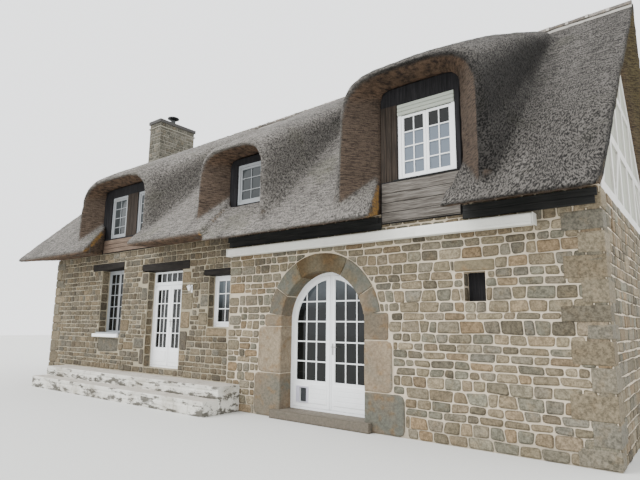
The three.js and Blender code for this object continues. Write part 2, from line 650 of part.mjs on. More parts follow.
// A thin flap hung from a pin across the top of its opening.
function catFlap() {
  const y = ARCH.depth + 4 + LEAF / 2;
  const pin = new THREE.CylinderGeometry(3, 3, FLAP.right - FLAP.left - 2 * GAP, 12);
  pin.rotateZ(Math.PI / 2);
  pin.translate((FLAP.left + FLAP.right) / 2, y, FLAP.top - 14);
  return box(FLAP.left + CLEAR, FLAP.right - CLEAR, y - 4, y + 4, FLAP.bottom + CLEAR, FLAP.top - 10)
    .add(solid(pin));
}

function buildEntrance() {
  const e = ENTRANCE;
  const y = e.depth;
  const inner = [e.left + 56, e.right - 56];
  let frame = cut(
    box(e.left + GAP, e.right - GAP, y, y + 70, e.bottom, e.top - GAP),
    box(...inner, y - 5, y + 80, e.bottom + 40, LEAF_GLASS.head),
    box(...inner, y - 5, y + 80, ...LEAF_GLASS.transom));
  add('entrance_transom_glass', sheetIn(...inner, ...LEAF_GLASS.transom, y + 30), COLOURS.glass, 0.1);
  const middle = (inner[0] + inner[1]) / 2;
  const stile = 80;
  const spans = { left: [inner[0] + CLEAR, middle - 3], right: [middle + 3, inner[1] - CLEAR] };
  for (const [side, [x0, x1]] of Object.entries(spans)) {
    const leaf = cut(
      box(x0, x1, y + 4, y + 4 + LEAF, e.bottom + 46, LEAF_GLASS.head - CLEAR),
      box(x0 + stile, x1 - stile, y - 5, y + 80, ...LEAF_GLASS.entrance));
    const sign = side === 'left' ? -1 : 1;
    const hinge = knuckles(sign < 0 ? x0 - 3 : x1 + 3, y + 70, y + 4, sign, [860, 1560, 2260]);
    frame = frame.add(hinge.fixed);
    add(`entrance_leaf_${side}`, leaf.add(hinge.hung), COLOURS.white, 0.45);
    const pane = sheetIn(x0 + stile, x1 - stile, ...LEAF_GLASS.entrance, y + 28);
    add(`entrance_glass_${side}`, pane, COLOURS.glass, 0.1);
  }
  add('entrance_frame', frame, COLOURS.white, 0.45);
}

// Chimney, awning, beam, steps
function buildChimney() {
  const s = STACK;
  const y = (s.front + s.back) / 2;
  const gable = acrossX(gableTop(0.5, SOFFIT + GAP), LEFT - 10, LEFT + WALL + GAP);
  const shaft = box(s.left, s.right, s.front, s.back, s.bottom, s.top).add(
    box(s.left - DRIP.out, s.right + DRIP.out, s.front - DRIP.out, s.back + DRIP.out,
      s.top - DRIP.below, s.top - DRIP.below + DRIP.thick));
  add('chimney_stack', cut(shaft, gable.translate([0, 0, GAP])), COLOURS.stack);
  add('chimney_cap', box(s.left - 40, s.right + 40, s.front - 40, s.back + 40, s.top + GAP, s.top + 110),
    COLOURS.slab, 0.8);
  const cowl = new THREE.LatheGeometry(COWL.map(([r, z]) => new THREE.Vector2(r, z)), 20);
  cowl.rotateX(Math.PI / 2);
  cowl.translate((s.left + s.right) / 2, y, s.top + 110 + GAP);
  add('chimney_cowl', solid(cowl), COLOURS.steel, 0.4, 0.6);
}

function buildExtras() {
  const [gap0, gap1] = DORMERS.right.gap[0];
  const beam = cut(box(BEAM.left, BEAM.right, BEAM.front, -GAP, BEAM.bottom, BEAM.top),
    box(gap0 - 10, gap1 + 10, BEAM.front - 10, -20, BEAM.bottom - 10, BEAM.top + 10));
  add('eaves_beam', beam, COLOURS.dark, 0.8);
  add('awning', box(AWNING.left, AWNING.right, AWNING.front, -GAP, AWNING.bottom, AWNING.top),
    COLOURS.awning, 0.5);
  const t = TERRACE;
  add('terrace', box(t.left, t.right, t.front, -GAP, 0, t.top)
    .add(box(t.left, t.right, t.stepFront, t.front + 10, 0, t.step)), COLOURS.terrace);
}

buildFrontWalls();
buildOtherWalls();
buildFloors();
buildRoof();
buildChimney();
buildLintels();
buildWindows();
for (const [side, dormer] of Object.entries(DORMERS)) buildDormer(side, dormer);
buildArch();
buildEntrance();
buildExtras();

for (const mesh of house.children) {
  mesh.geometry.translate(-MIDDLE_X, -DEPTH / 2, 0);
}

export default house;
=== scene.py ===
"""Looks of a thatched stone cottage, built over its CAD model.

Lengths are metres. Pieces are drawn from the middle of the arched door, with x to the right,
y running into the house from the front wall's face and z up from the ground. to_piece moves
each one to the model's own place.
"""
import logging
import math
import random
from dataclasses import dataclass, field
from enum import Enum

import bmesh
import bpy
import numpy as np
from mathutils import Matrix, Vector, noise


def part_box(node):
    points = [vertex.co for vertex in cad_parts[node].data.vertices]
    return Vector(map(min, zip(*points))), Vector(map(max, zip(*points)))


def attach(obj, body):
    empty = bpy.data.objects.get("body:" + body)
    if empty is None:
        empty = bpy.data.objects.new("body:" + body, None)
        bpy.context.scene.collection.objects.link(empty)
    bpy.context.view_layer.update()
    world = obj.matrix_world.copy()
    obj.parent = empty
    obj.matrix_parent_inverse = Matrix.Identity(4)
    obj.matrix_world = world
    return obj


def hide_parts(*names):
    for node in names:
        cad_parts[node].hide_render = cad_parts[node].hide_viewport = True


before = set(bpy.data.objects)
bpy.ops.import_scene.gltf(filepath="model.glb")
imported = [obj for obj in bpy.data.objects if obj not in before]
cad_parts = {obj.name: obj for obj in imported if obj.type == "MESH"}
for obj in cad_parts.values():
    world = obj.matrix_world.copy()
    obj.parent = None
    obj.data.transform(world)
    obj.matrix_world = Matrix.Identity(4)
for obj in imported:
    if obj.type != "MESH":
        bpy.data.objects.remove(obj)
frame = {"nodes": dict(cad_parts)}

log = logging.getLogger("cottage")

SHIFT = Vector((2.79, -3.3, 0.0))      # from the arched door's middle to the house's middle
HOUSE = "house"
WALL_LEFT, WALL_RIGHT, DEPTH = -10.01, 4.43, 6.6
WALL_TOP = 3.48
STONE_CHANGE = -2.4                    # thin brown stones left of this, large grey ones right
SPLIT_X = -2.46                        # the thatch steps down here
RIDGE_Y, RIDGE_Z, RIDGE_RISE = 3.3, 7.62, 0.0115
NOISE_SEED = 7                         # without it noise_vector differs from run to run
ARCH_X, ARCH_SPRING, ARCH_SILL, ARCH_DEPTH = -0.0295, 1.7, 0.15, 0.288

Mesh = bmesh.types.BMesh
Face = bmesh.types.BMFace
Material = bpy.types.Material
Paint = dict[str, Material]            # the finishes by name
Span = tuple[float, float]             # a reach, or from where to where a value changes
Scale = tuple[float, float, float]     # spots in a metre on each axis


def srgb(red: float, green: float, blue: float) -> tuple[float, float, float, float]:
    """Turns screen values from 0 to 255 into a linear colour.

    Args:
        red: The screen's red.
        green: The screen's green.
        blue: The screen's blue.

    Returns:
        The colour as Blender's sockets take it.
    """
    def line(value: float) -> float:
        """Straightens one channel."""
        value /= 255
        return value / 12.92 if value <= 0.04045 else ((value + 0.055) / 1.055) ** 2.4
    return line(red), line(green), line(blue), 1.0


# Shader tools


class Value:
    """A shader socket that Python's operators work on."""

    def __init__(self, maker: "Maker", socket: bpy.types.NodeSocket) -> None:
        """Keeps the socket and the material it belongs to."""
        self.maker = maker
        self.socket = socket

    def _math(self, operation: str, first: object, second: object) -> "Value":
        """Adds one Math node."""
        return self.maker.node("ShaderNodeMath", {"operation": operation}, {0: first, 1: second})

    def __add__(self, other: object) -> "Value":
        """Sum."""
        return self._math("ADD", self, other)

    __radd__ = __add__

    def __sub__(self, other: object) -> "Value":
        """Difference."""
        return self._math("SUBTRACT", self, other)

    def __rsub__(self, other: object) -> "Value":
        """Difference from a number."""
        return self._math("SUBTRACT", other, self)

    def __mul__(self, other: object) -> "Value":
        """Product."""
        return self._math("MULTIPLY", self, other)

    __rmul__ = __mul__

    def absolute(self) -> "Value":
        """The value without its sign."""
        return self._math("ABSOLUTE", self, 0.0)

    def step(self, low: float, high: float) -> "Value":
        """Runs smoothly from 0 at low to 1 at high."""
        return self.maker.node("ShaderNodeMapRange", {"interpolation_type": "SMOOTHSTEP"},
                               {"Value": self, "From Min": low, "From Max": high})


class Maker:
    """A material under construction round one Principled shader."""

    def __init__(self, name: str, **constants: object) -> None:
        """Starts the material.

        Args:
            name: The material's name.
            **constants: Plain values for the shader's sockets, spaces written as underscores.
        """
        self.material = bpy.data.materials.new(name)
        self.material.use_nodes = True
        self.tree = self.material.node_tree
        self.shader = self.tree.nodes["Principled BSDF"]
        for key, value in constants.items():
            self.feed(self.shader, key.replace("_", " "), value)

    def feed(self, target: bpy.types.Node, key: object, value: object) -> None:
        """Sets or links one input of a node.

        Args:
            target: The node.
            key: The input's place, identifier or name.
            value: A number, a vector, a colour or a Value.
        """
        if isinstance(key, int):
            socket = target.inputs[key]
        else:
            found = [s for s in target.inputs if s.identifier == key]
            socket = (found or [s for s in target.inputs if s.name == key])[0]
        if isinstance(value, Value):
            self.tree.links.new(value.socket, socket)
        else:
            socket.default_value = value

    def node(self, kind: str, settings: dict | None = None, inputs: dict | None = None,
             out: int = 0) -> Value:
        """Adds any node.

        Args:
            kind: The node's type.
            settings: The node's own settings, set first; "stops" fills a colour ramp.
            inputs: Values or links of its sockets.
            out: Which output is given back.

        Returns:
            That output.
        """
        made = self.tree.nodes.new(kind)
        for key, value in (settings or {}).items():
            if key == "stops":
                self._stops(made.color_ramp, value)
            else:
                setattr(made, key, value)
        for key, value in (inputs or {}).items():
            self.feed(made, key, value)
        return Value(self, made.outputs[out])

    @staticmethod
    def _stops(ramp: bpy.types.ColorRamp, stops: list) -> None:
        """Fills a colour ramp.

        Args:
            ramp: The ramp.
            stops: Pairs of a place from 0 to 1 and a colour.
        """
        while len(ramp.elements) < len(stops):
            ramp.elements.new(0.5)
        for element, (place, colour) in zip(ramp.elements, stops):
            element.position = place
            element.color = colour

    def place(self) -> Value:
        """Object coordinates."""
        return self.node("ShaderNodeTexCoord", out=3)

    def stretched(self, scale: Scale) -> Value:
        """Object coordinates, stretched by a scale on each axis."""
        return self.node("ShaderNodeVectorMath", {"operation": "MULTIPLY"},
                         {0: self.place(), 1: scale})

    def parts(self, whole: Value) -> tuple[Value, Value, Value]:
        """The three parts of a vector."""
        split = self.node("ShaderNodeSeparateXYZ", {}, {0: whole}).socket.node
        return tuple(Value(self, output) for output in split.outputs)

    def axes(self) -> tuple[Value, Value, Value]:
        """The three object coordinates apart."""
        return self.parts(self.place())

    def vector(self, x: object, y: object, z: object) -> Value:
        """Three values as one vector."""
        return self.node("ShaderNodeCombineXYZ", {}, {0: x, 1: y, 2: z})

    def attribute(self, name: str) -> tuple[Value, Value, Value]:
        """The three parts of a vector that is kept on the mesh."""
        return self.parts(self.node("ShaderNodeAttribute", {"attribute_name": name}, out=1))

    def noise(self, scale: float, detail: float = 2.0, at: Value | None = None,
              rough: float = 0.5) -> Value:
        """A noise from 0 to 1, with scale spots in a metre and octaves of finer ones."""
        return self.node("ShaderNodeTexNoise", {}, {
            "Vector": at or self.place(), "Scale": scale, "Detail": detail, "Roughness": rough})

    def mix(self, first: object, second: object, share: object, blend: str = "MIX") -> Value:
        """Two colours mixed: the first at share 0, the second at share 1."""
        return self.node("ShaderNodeMix", {"data_type": "RGBA", "blend_type": blend}, {
            "Factor_Float": share, "A_Color": first, "B_Color": second}, out=2)

    def ramp(self, share: Value, stops: list) -> Value:
        """Colours along a ramp."""
        return self.node("ShaderNodeValToRGB", {"stops": stops}, {"Fac": share})

    def shade(self, colour: object, share: Value, low: float, high: float) -> Value:
        """A colour times low where a share is 0 and times high where it is 1."""
        level = share * (high - low) + low
        return self.mix(colour, self.vector(level, level, level), 1.0, "MULTIPLY")

    def bump(self, height: Value, depth: float) -> None:
        """Gives the surface relief, from a height of 0 to 1 and a depth in metres."""
        inputs = {"Strength": 1.0, "Distance": depth, "Height": height}
        self.feed(self.shader, "Normal", self.node("ShaderNodeBump", {}, inputs))

    def colour(self, value: object) -> None:
        """Feeds the base colour."""
        self.feed(self.shader, "Base Color", value)

    def roughness(self, value: object) -> None:
        """Feeds the roughness."""
        self.feed(self.shader, "Roughness", value)

    def facing_up(self) -> Value:
        """How far the surface faces up: 1 on top, -1 below."""
        return self.parts(self.node("ShaderNodeNewGeometry", out=1))[2]


# Finishes


@dataclass(frozen=True)
class ThatchFinish:
    """Weathered reed, brown below the surface and ochre where it is freshly cut."""
    name: str
    pale: tuple = srgb(144, 139, 133)
    dark: tuple = srgb(50, 48, 46)
    moss: tuple = srgb(92, 92, 74)
    brown: tuple = srgb(92, 79, 68)
    deep: tuple = srgb(44, 38, 34)
    ochre: tuple = srgb(158, 122, 66)
    olive: tuple = srgb(86, 77, 54)
    rust: tuple = srgb(100, 81, 66)
    clumps: Scale = (46, 19, 46)       # spots in a metre across, down and out of the slope
    reeds: Scale = (95, 24, 95)
    ripples: Scale = (6, 26, 26)
    streaks: Scale = (1.7, 0.4, 1.7)
    strokes: Scale = (50, 17, 50)
    layers: Scale = (9, 7, 60)         # the same across, into the house and up
    dim_left: Span = (-7.5, -2.5)      # across: the coat is a little darker left of this
    dark_right: Span = (5.2, 9.4)      # across and up: it is dark and coarse right of this
    long_right: Span = (2.6, 5.0)      # across: its strokes are longer right of this
    long_below: Span = (4.2, 6.4)      # up: and below this
    shaded_flanks: Span = (3.0, 4.6)          # across: the painted shade on steep flanks is darkest right of this
    olive_right: Span = (7.1, 7.4)     # across: cut reed is olive right of this
    pale_left: Span = (-1.0, 2.6)      # across: and paler left of this

    def make(self) -> Material:
        """Builds the material: strokes that run down both sides of the roof.

        Returns:
            The material.
        """
        m = Maker(self.name, Roughness=0.95, Specular_IOR_Level=0.15)
        across, into, up = m.axes()
        away = into.absolute()
        run, out = up * 0.72 - away * 0.69, up * 0.69 + away * 0.72

        def spots(scale: Scale, detail: int = 3, rough: float = 0.65,
                  along: Value = across) -> Value:
            """Noise that is drawn out down the slope."""
            at = m.vector(along * scale[0], run * scale[1], out * scale[2])
            return m.noise(1.0, detail, at, rough)

        clumps, reeds = spots(self.clumps), spots(self.reeds)
        ripples, streaks = spots(self.ripples, rough=0.6), spots(self.streaks, 4, 0.6)
        strokes = spots(self.strokes, rough=0.6, along=across + m.noise(1.3, 1) * 0.5)
        grain = clumps * 0.38 + reeds * 0.32 + ripples * 0.3
        right = (across + up * 0.8).step(*self.dark_right)
        low_right = across.step(*self.long_right) * (1 - up.step(*self.long_below))
        grain = grain + (strokes * 0.7 + reeds * 0.3 - grain) * low_right
        contrast = right * 2.6 + 4.2
        coat = m.mix(self.dark, self.pale, ((grain - 0.5) * contrast + 0.5).step(0.0, 1.0))
        coat = m.mix(coat, self.moss, m.noise(0.9, 5, rough=0.6).step(0.52, 0.75) * 0.35)
        coat = m.shade(coat, streaks.step(0.3, 0.7), 0.82, 1.1)
        coat = m.shade(coat, right, 1.0, 0.48)
        coat = m.shade(coat, across.step(*self.dim_left), 0.86, 1.0)
        x, y, z = self.layers
        layers = m.noise(1.0, 3, m.vector(across * x, into * y, up * z), 0.65)
        down = m.facing_up().step(-0.2, -0.8)
        reed = m.mix(m.mix(self.brown, self.rust, down), self.olive,
                     across.step(*self.olive_right))
        inside = m.mix(self.deep, reed, (layers * 0.65 + reeds * 0.35).step(0.36, 0.62))
        inside = m.shade(inside, across.step(*self.pale_left), 1.3, 1.0)
        cut, fresh, flank_shade = m.attribute("reed")
        # painted shade: the steep flanks of the coat are darkened, most of all to the right
        coat = m.shade(coat, flank_shade * (across.step(*self.shaded_flanks) * 0.75 + 0.25), 1.0, 0.3)
        ends = m.mix(self.brown, self.ochre, layers.step(0.36, 0.6))
        m.colour(m.mix(m.mix(coat, inside, cut), ends, fresh))
        m.bump(grain, 0.045)
        return m.material


@dataclass(frozen=True)
class StoneFinish:
    """Stones or tiles that differ by the tone kept on each."""
    name: str
    stones: tuple                      # its palette
    grit: float = 45.0                 # grains in a metre
    depth: float = 0.012               # of its relief
    blotch: tuple = srgb(120, 104, 80)
    blotched: float = 0.35             # how much of the blotches shows
    mottled: float = 0.42              # how far the grains differ in brightness
    rim: float = 0.78                  # brightness of a stone's edge: painted shade where it rounds into the joint

    def make(self) -> Material:
        """Builds the material.

        Returns:
            The material.
        """
        m = Maker(self.name, Roughness=0.92, Specular_IOR_Level=0.2)
        kind, light, crown = m.attribute("tone")
        last = len(self.stones) - 1
        base = m.ramp(kind, [(i / last, stone) for i, stone in enumerate(self.stones)])
        wide, fine = m.noise(7, 4), m.noise(self.grit, 4, rough=0.7)
        base = m.mix(base, self.blotch, wide.step(0.5, 0.72) * self.blotched)
        base = m.shade(base, light, 0.74, 1.17)
        # painted shade: each stone is darker at its edges, towards the joints
        base = m.shade(base, crown, self.rim, 1.06)
        mottle = (fine * 0.5 + m.noise(21, 3, rough=0.65) * 0.5).step(0.36, 0.64)
        m.colour(m.shade(base, mottle, 1 - self.mottled, 1 + self.mottled))
        m.bump(fine * 0.4 + wide * 0.6, self.depth)
        return m.material


@dataclass(frozen=True)
class MortarFinish:
    """Pointing: brown-beige on the old left part and the back, cream on the right part."""
    name: str
    left: tuple
    right: tuple
    damp: tuple = srgb(112, 106, 92)   # the foot of the walls
    change: float = STONE_CHANGE + SHIFT.x

    def make(self) -> Material:
        """Builds the material.

        Returns:
            The material.
        """
        m = Maker(self.name, Roughness=0.95, Specular_IOR_Level=0.15)
        along, into, height = m.axes()
        wide, fine = m.noise(2.5, 4), m.noise(80, 4, rough=0.7)
        newer = along.step(self.change - 0.15, self.change + 0.15) * (1 - into.step(2.9, 3.1))
        base = m.mix(self.left, self.right, newer)
        foot = 1 - height.step(0.0, 0.55)
        base = m.shade(base, wide, 0.82, 1.15)
        base = m.mix(base, self.damp, foot * 0.45)
        m.colour(m.shade(base, fine, 0.85, 1.15))
        m.bump(fine, 0.004)
        return m.material


class Grain(Enum):
    """Which way a timber's grain runs: large numbers cross it."""
    ALONG_X = (2.5, 55.0, 55.0)
    UPRIGHT = (55.0, 55.0, 2.5)


@dataclass(frozen=True)
class TimberFinish:
    """Bare or stained timber with grain."""
    name: str
    light: tuple
    dark: tuple
    grain: Grain = Grain.ALONG_X
    rough: float = 0.8
    depth: float = 0.003

    def make(self) -> Material:
        """Builds the material.

        Returns:
            The material.
        """
        m = Maker(self.name, Specular_IOR_Level=0.12)
        lines = m.noise(1.0, 4, m.stretched(self.grain.value), 0.65)
        wide = m.noise(3.0, 3)
        base = m.mix(self.dark, self.light, lines.step(0.3, 0.7))
        m.colour(m.shade(base, wide, 0.75, 1.2))
        m.roughness(lines * 0.15 + (self.rough - 0.08))
        m.bump(lines, self.depth)
        return m.material


@dataclass(frozen=True)
class PaintFinish:
    """Paint on timber or metal, a little dirty."""
    name: str
    paint: tuple
    dirt: tuple = srgb(150, 146, 134)
    dirty: float = 0.25
    rough: float = 0.42

    def make(self) -> Material:
        """Builds the material.

        Returns:
            The material.
        """
        m = Maker(self.name)
        wide, fine = m.noise(2.2, 5, rough=0.65), m.noise(30, 3)
        m.colour(m.shade(m.mix(self.paint, self.dirt, wide.step(0.5, 0.8) * self.dirty),
                         fine, 0.94, 1.05))
        m.roughness(wide * 0.2 + (self.rough - 0.1))
        m.bump(fine, 0.0006)
        return m.material


@dataclass(frozen=True)
class LimeFinish:
    """Whitewashed steps with worn treads and risers that have gone dark below."""
    name: str
    tread: tuple = srgb(172, 165, 155)
    riser: float = 0.27                # height of the lower step
    lime: tuple = srgb(214, 212, 204)
    worn: tuple = srgb(150, 142, 126)
    dirt: tuple = srgb(70, 66, 58)

    def make(self) -> Material:
        """Builds the material.

        Returns:
            The material.
        """
        m = Maker(self.name, Roughness=0.9, Specular_IOR_Level=0.2)
        across, into, up = m.axes()
        wide = m.noise(1.6, 5, rough=0.65)
        stains = m.noise(1.0, 5, m.vector(across * 2.6, into * 6, up * 9), 0.72)
        base = m.mix(self.lime, self.worn, wide.step(0.45, 0.7) * 0.6)
        rise = up - up.step(self.riser - 0.004, self.riser + 0.008) * self.riser
        foot = 1 - rise.step(0.02, 0.17)
        base = m.mix(base, self.dirt, (stains + foot * 0.09).step(0.53, 0.62) * 0.9)
        treads = m.facing_up().step(0.6, 0.9)
        base = m.mix(base, m.shade(self.tread, wide, 0.8, 1.15), treads * 0.8)
        m.colour(m.shade(base, m.noise(60, 3), 0.88, 1.1))
        m.bump(stains, 0.01)
        return m.material


@dataclass(frozen=True)
class GlassFinish:
    """Panes painted as the dark room behind, paler where a painted sky reflection lies."""
    name: str
    reflection_from: float                   # the painted reflection: the pane is dark at this height and pale at the next
    reflection_to: float
    dark: tuple = srgb(16, 18, 18)
    pale: tuple = srgb(104, 112, 118)
    wave: float = 0.5                  # how far clouds shift that line

    def make(self) -> Material:
        """Builds the material.

        Returns:
            The material.
        """
        m = Maker(self.name, Roughness=0.06, IOR=1.5, Specular_IOR_Level=0.3)
        _, _, height = m.axes()
        cloud = m.noise(2.1, 3) - 0.5
        level = (height + cloud * self.wave).step(self.reflection_from, self.reflection_to)
        m.colour(m.mix(self.dark, self.pale, level))
        return m.material


@dataclass(frozen=True)
class MetalFinish:
    """Bare or dull metal."""
    name: str
    metal: tuple
    rough: float = 0.4

    def make(self) -> Material:
        """Builds the material.

        Returns:
            The material.
        """
        m = Maker(self.name, Metallic=0.9)
        stain = m.noise(14, 4)
        m.colour(m.shade(self.metal, stain, 0.7, 1.15))
        m.roughness(stain * 0.25 + self.rough)
        return m.material


def finishes() -> Paint:
    """Makes every material of the house.

    Returns:
        The materials by name.
    """
    brown = (srgb(93, 83, 68), srgb(105, 96, 79), srgb(85, 79, 69), srgb(111, 98, 78),
             srgb(94, 90, 80), srgb(76, 68, 56))
    grey = (srgb(110, 99, 81), srgb(127, 116, 96), srgb(105, 101, 90), srgb(122, 104, 80),
            srgb(112, 109, 95), srgb(87, 81, 69), srgb(120, 110, 90))
    granite = (srgb(94, 78, 55), srgb(108, 99, 80), srgb(100, 100, 91), srgb(118, 105, 88),
               srgb(138, 125, 106), srgb(118, 107, 92))
    steps = (srgb(98, 91, 80), srgb(108, 102, 93))
    stack = (srgb(88, 86, 77), srgb(102, 98, 88), srgb(78, 76, 68), srgb(108, 104, 95))
    tiles = (srgb(112, 106, 100), srgb(88, 83, 78), srgb(140, 134, 127))
    made = [
        ThatchFinish("thatch"),
        StoneFinish("stone_left", brown),
        StoneFinish("stone_right", grey),
        StoneFinish("granite", granite, 60.0, 0.008, srgb(118, 94, 64), 0.6, 0.24, 1.0),
        StoneFinish("step_stone", steps, 60.0, 0.006, srgb(90, 86, 78), 0.5, 0.2, 1.0),
        StoneFinish("stone_stack", stack),
        MortarFinish("mortar", srgb(153, 144, 124), srgb(196, 183, 162)),
        MortarFinish("mortar_stack", srgb(128, 124, 113), srgb(128, 124, 113)),
        MortarFinish("mortar_ridge", srgb(150, 146, 140), srgb(168, 164, 157)),
        StoneFinish("tile", tiles),
        TimberFinish("lintel", srgb(45, 41, 38), srgb(25, 23, 22)),
        TimberFinish("boards", srgb(122, 117, 111), srgb(62, 57, 52)),
        TimberFinish("dark_boards", srgb(42, 41, 43), srgb(23, 23, 24), Grain.UPRIGHT),
        TimberFinish("brown_boards", srgb(64, 56, 49), srgb(36, 32, 29), Grain.UPRIGHT),
        TimberFinish("pink_boards", srgb(122, 105, 92), srgb(84, 71, 61)),
        TimberFinish("fascia", srgb(49, 49, 48), srgb(30, 31, 31)),
        PaintFinish("white", srgb(251, 253, 254), dirty=0.08),
        # white paint greyed as painted shade for frames under the eaves and the thatched hoods, a
        # little dirty too
        PaintFinish("old_white", srgb(146, 150, 153), dirty=0.4),
        PaintFinish("white_timber", srgb(204, 202, 196), dirty=0.5),
        PaintFinish("cream", srgb(164, 170, 158), dirty=0.3),
        PaintFinish("panel", srgb(158, 160, 146), dirty=0.5, rough=0.8),
        PaintFinish("awning", srgb(226, 226, 218), dirty=0.3, rough=0.5),
        LimeFinish("whitewash"),
        PaintFinish("floor", srgb(150, 140, 126), dirty=0.5, rough=0.7),
        PaintFinish("slab", srgb(62, 60, 58), srgb(46, 45, 43), 0.6, 0.85),
        PaintFinish("flap_frame", srgb(196, 194, 208), dirty=0.1),
        PaintFinish("flap", srgb(34, 38, 42), srgb(60, 62, 64), 0.2, 0.3),
        GlassFinish("glass", 1.9, 2.9),
        # panes in the shade of the eaves and hoods: a dimmer painted sky reflection, higher up
        GlassFinish("glass_dim", 3.0, 6.5, pale=srgb(84, 90, 92)),
        # right dormer: painted sky reflection on the lower rows, painted shadow of the shutter box
        # over the top row
        GlassFinish("glass_high", 4.85, 4.8, pale=srgb(105, 114, 125), wave=0.12),
        MetalFinish("steel", srgb(70, 71, 72)),
        MetalFinish("nickel", srgb(176, 176, 174), 0.3),
    ]
    return {finish.name: finish.make() for finish in made}


# Mesh tools


def to_piece(bm: Mesh, name: str, material: Material, slot: str, body: str = HOUSE,
             replaced: tuple[str, ...] = (), smooth: bool = False, moved: bool = True) -> None:
    """Turns a mesh drawn from the arched door into a piece that rides on a body.

    Args:
        bm: The mesh, which is used up.
        name: The piece's name.
        material: Its material.
        slot: The record's slot; not used.
        body: The body it rides on.
        replaced: Nodes that it stands for.
        smooth: Whether its faces are shaded smooth.
        moved: Whether it still has to be moved to the house's middle.
    """
    if moved:
        bmesh.ops.translate(bm, verts=bm.verts, vec=SHIFT)
    mesh = bpy.data.meshes.new(name)
    bm.to_mesh(mesh)
    bm.free()
    mesh.materials.append(material)
    if smooth:
        mesh.shade_smooth()
    piece = bpy.data.objects.new(name, mesh)
    bpy.context.scene.collection.objects.link(piece)
    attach(piece, body)
    if replaced:
        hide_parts(*replaced)
    log.info("%s: %d faces on %s", name, len(mesh.polygons), body)


def blank() -> Mesh:
    """Starts a mesh whose vertices can keep a tone.

    Returns:
        The empty mesh.
    """
    bm = bmesh.new()
    bm.verts.layers.float_vector.new("tone")
    return bm


def tone_of(bm: Mesh, verts: list, rng: random.Random, kind: float | None = None) -> None:
    """Keeps one random tone on the vertices of a stone or board.

    Args:
        bm: The mesh.
        verts: The stone's vertices.
        rng: The seeded source of chance.
        kind: The place in the finish's palette, or None for any.
    """
    layer = bm.verts.layers.float_vector["tone"]
    tone = Vector((rng.random() if kind is None else kind, rng.random(), rng.random()))
    for vert in verts:
        vert[layer] = tone


@dataclass
class Part:
    """One part of the cottage, with its finishes, a mesh under work and a source of chance."""
    paint: Paint
    bm: Mesh = field(init=False, default_factory=blank)
    rng: random.Random = field(init=False, default_factory=random.Random)

    def build(self) -> None:
        """Builds the part's pieces."""
        raise NotImplementedError

    def piece(self, name: str, finish: str, slot: str, bm: Mesh | None = None,
              **more: object) -> None:
        """Turns a mesh, or the one under work, into a piece as to_piece does."""
        to_piece(bm or self.bm, name, self.paint[finish], slot, **more)
        self.bm = blank()

    def toned(self, x: Span, y: Span, z: Span, edge: float, segments: int = 1,
              kind: float | None = None) -> None:
        """Adds a box with a tone of its own to the mesh, as block and tone_of do."""
        tone_of(self.bm, block(self.bm, x, y, z, edge, segments), self.rng, kind)


def added(bm: Mesh, before: set) -> list:
    """The vertices that a mesh has gained since before."""
    return [vert for vert in bm.verts if vert not in before]


def faces_round(verts: list) -> list:
    """The faces that meet at any of the vertices."""
    return list({face for vert in verts for face in vert.link_faces})


def soften(bm: Mesh, edges: list, width: float, segments: int) -> None:
    """Bevels edges by a width, with so many faces across."""
    bmesh.ops.bevel(bm, geom=edges, offset=width, offset_type="OFFSET", segments=segments,
                    profile=0.5, affect="EDGES", material=-1, clamp_overlap=True)


def block(bm: Mesh, x: Span, y: Span, z: Span, edge: float = 0.003, segments: int = 1) -> list:
    """Adds a box with softened edges.

    Args:
        bm: The mesh.
        x: Its reach along x.
        y: Its reach along y.
        z: Its reach along z.
        edge: The width of its softened edges.
        segments: The faces across such an edge.

    Returns:
        The box's vertices.
    """
    before = set(bm.verts)
    verts = bmesh.ops.create_cube(bm, size=1.0)["verts"]
    bmesh.ops.scale(bm, vec=(x[1] - x[0], y[1] - y[0], z[1] - z[0]), verts=verts)
    bmesh.ops.translate(bm, vec=((x[0] + x[1]) / 2, (y[0] + y[1]) / 2, (z[0] + z[1]) / 2),
                        verts=verts)
    if edge:
        soften(bm, list({e for v in verts for e in v.link_edges}), edge, segments)
    return added(bm, before)


def rod(bm: Mesh, start: Vector, end: Vector, radius: float) -> None:
    """Adds a round bar between two points.

    Args:
        bm: The mesh.
        start: One end.
        end: The other end.
        radius: Its radius.
    """
    along = end - start
    turn = along.to_track_quat("Z", "Y").to_matrix().to_4x4()
    place = Matrix.Translation((start + end) / 2) @ turn
    bmesh.ops.create_cone(bm, cap_ends=True, segments=12, radius1=radius, radius2=radius,
                          depth=along.length, matrix=place)


# Stonework


@dataclass(frozen=True)
class Gap:
    """A rectangle that stays clear of stones, in the wall's own plan."""
    left: float
    right: float
    low: float
    high: float

    def cut(self, bm: Mesh) -> None:
        """Cuts the stones along the rectangle and takes out what lies inside.

        Args:
            bm: The stones, still flat.
        """
        hit = [f for f in bm.faces if self._meets(f)]
        for point, normal in (((self.left, 0, 0), (1, 0, 0)), ((self.right, 0, 0), (1, 0, 0)),
                              ((0, self.low, 0), (0, 1, 0)), ((0, self.high, 0), (0, 1, 0))):
            geom = list({g for f in hit for g in (*f.verts, *f.edges, f)})
            cut = bmesh.ops.bisect_plane(bm, geom=geom, plane_co=point, plane_no=normal)
            made = [g for g in cut["geom"] if isinstance(g, Face)]
            hit = [f for f in {*made, *(h for h in hit if h.is_valid)} if self._meets(f)]
        inside = [f for f in hit if self._holds(f.calc_center_median())]
        bmesh.ops.delete(bm, geom=inside, context="FACES")

    def _meets(self, face: Face) -> bool:
        """Tells whether a stone's box crosses the rectangle."""
        xs, ys = [v.co.x for v in face.verts], [v.co.y for v in face.verts]
        return (min(xs) < self.right and max(xs) > self.left
                and min(ys) < self.high and max(ys) > self.low)

    def _holds(self, point: Vector) -> bool:
        """Tells whether a point lies in the rectangle."""
        return self.left < point.x < self.right and self.low < point.y < self.high


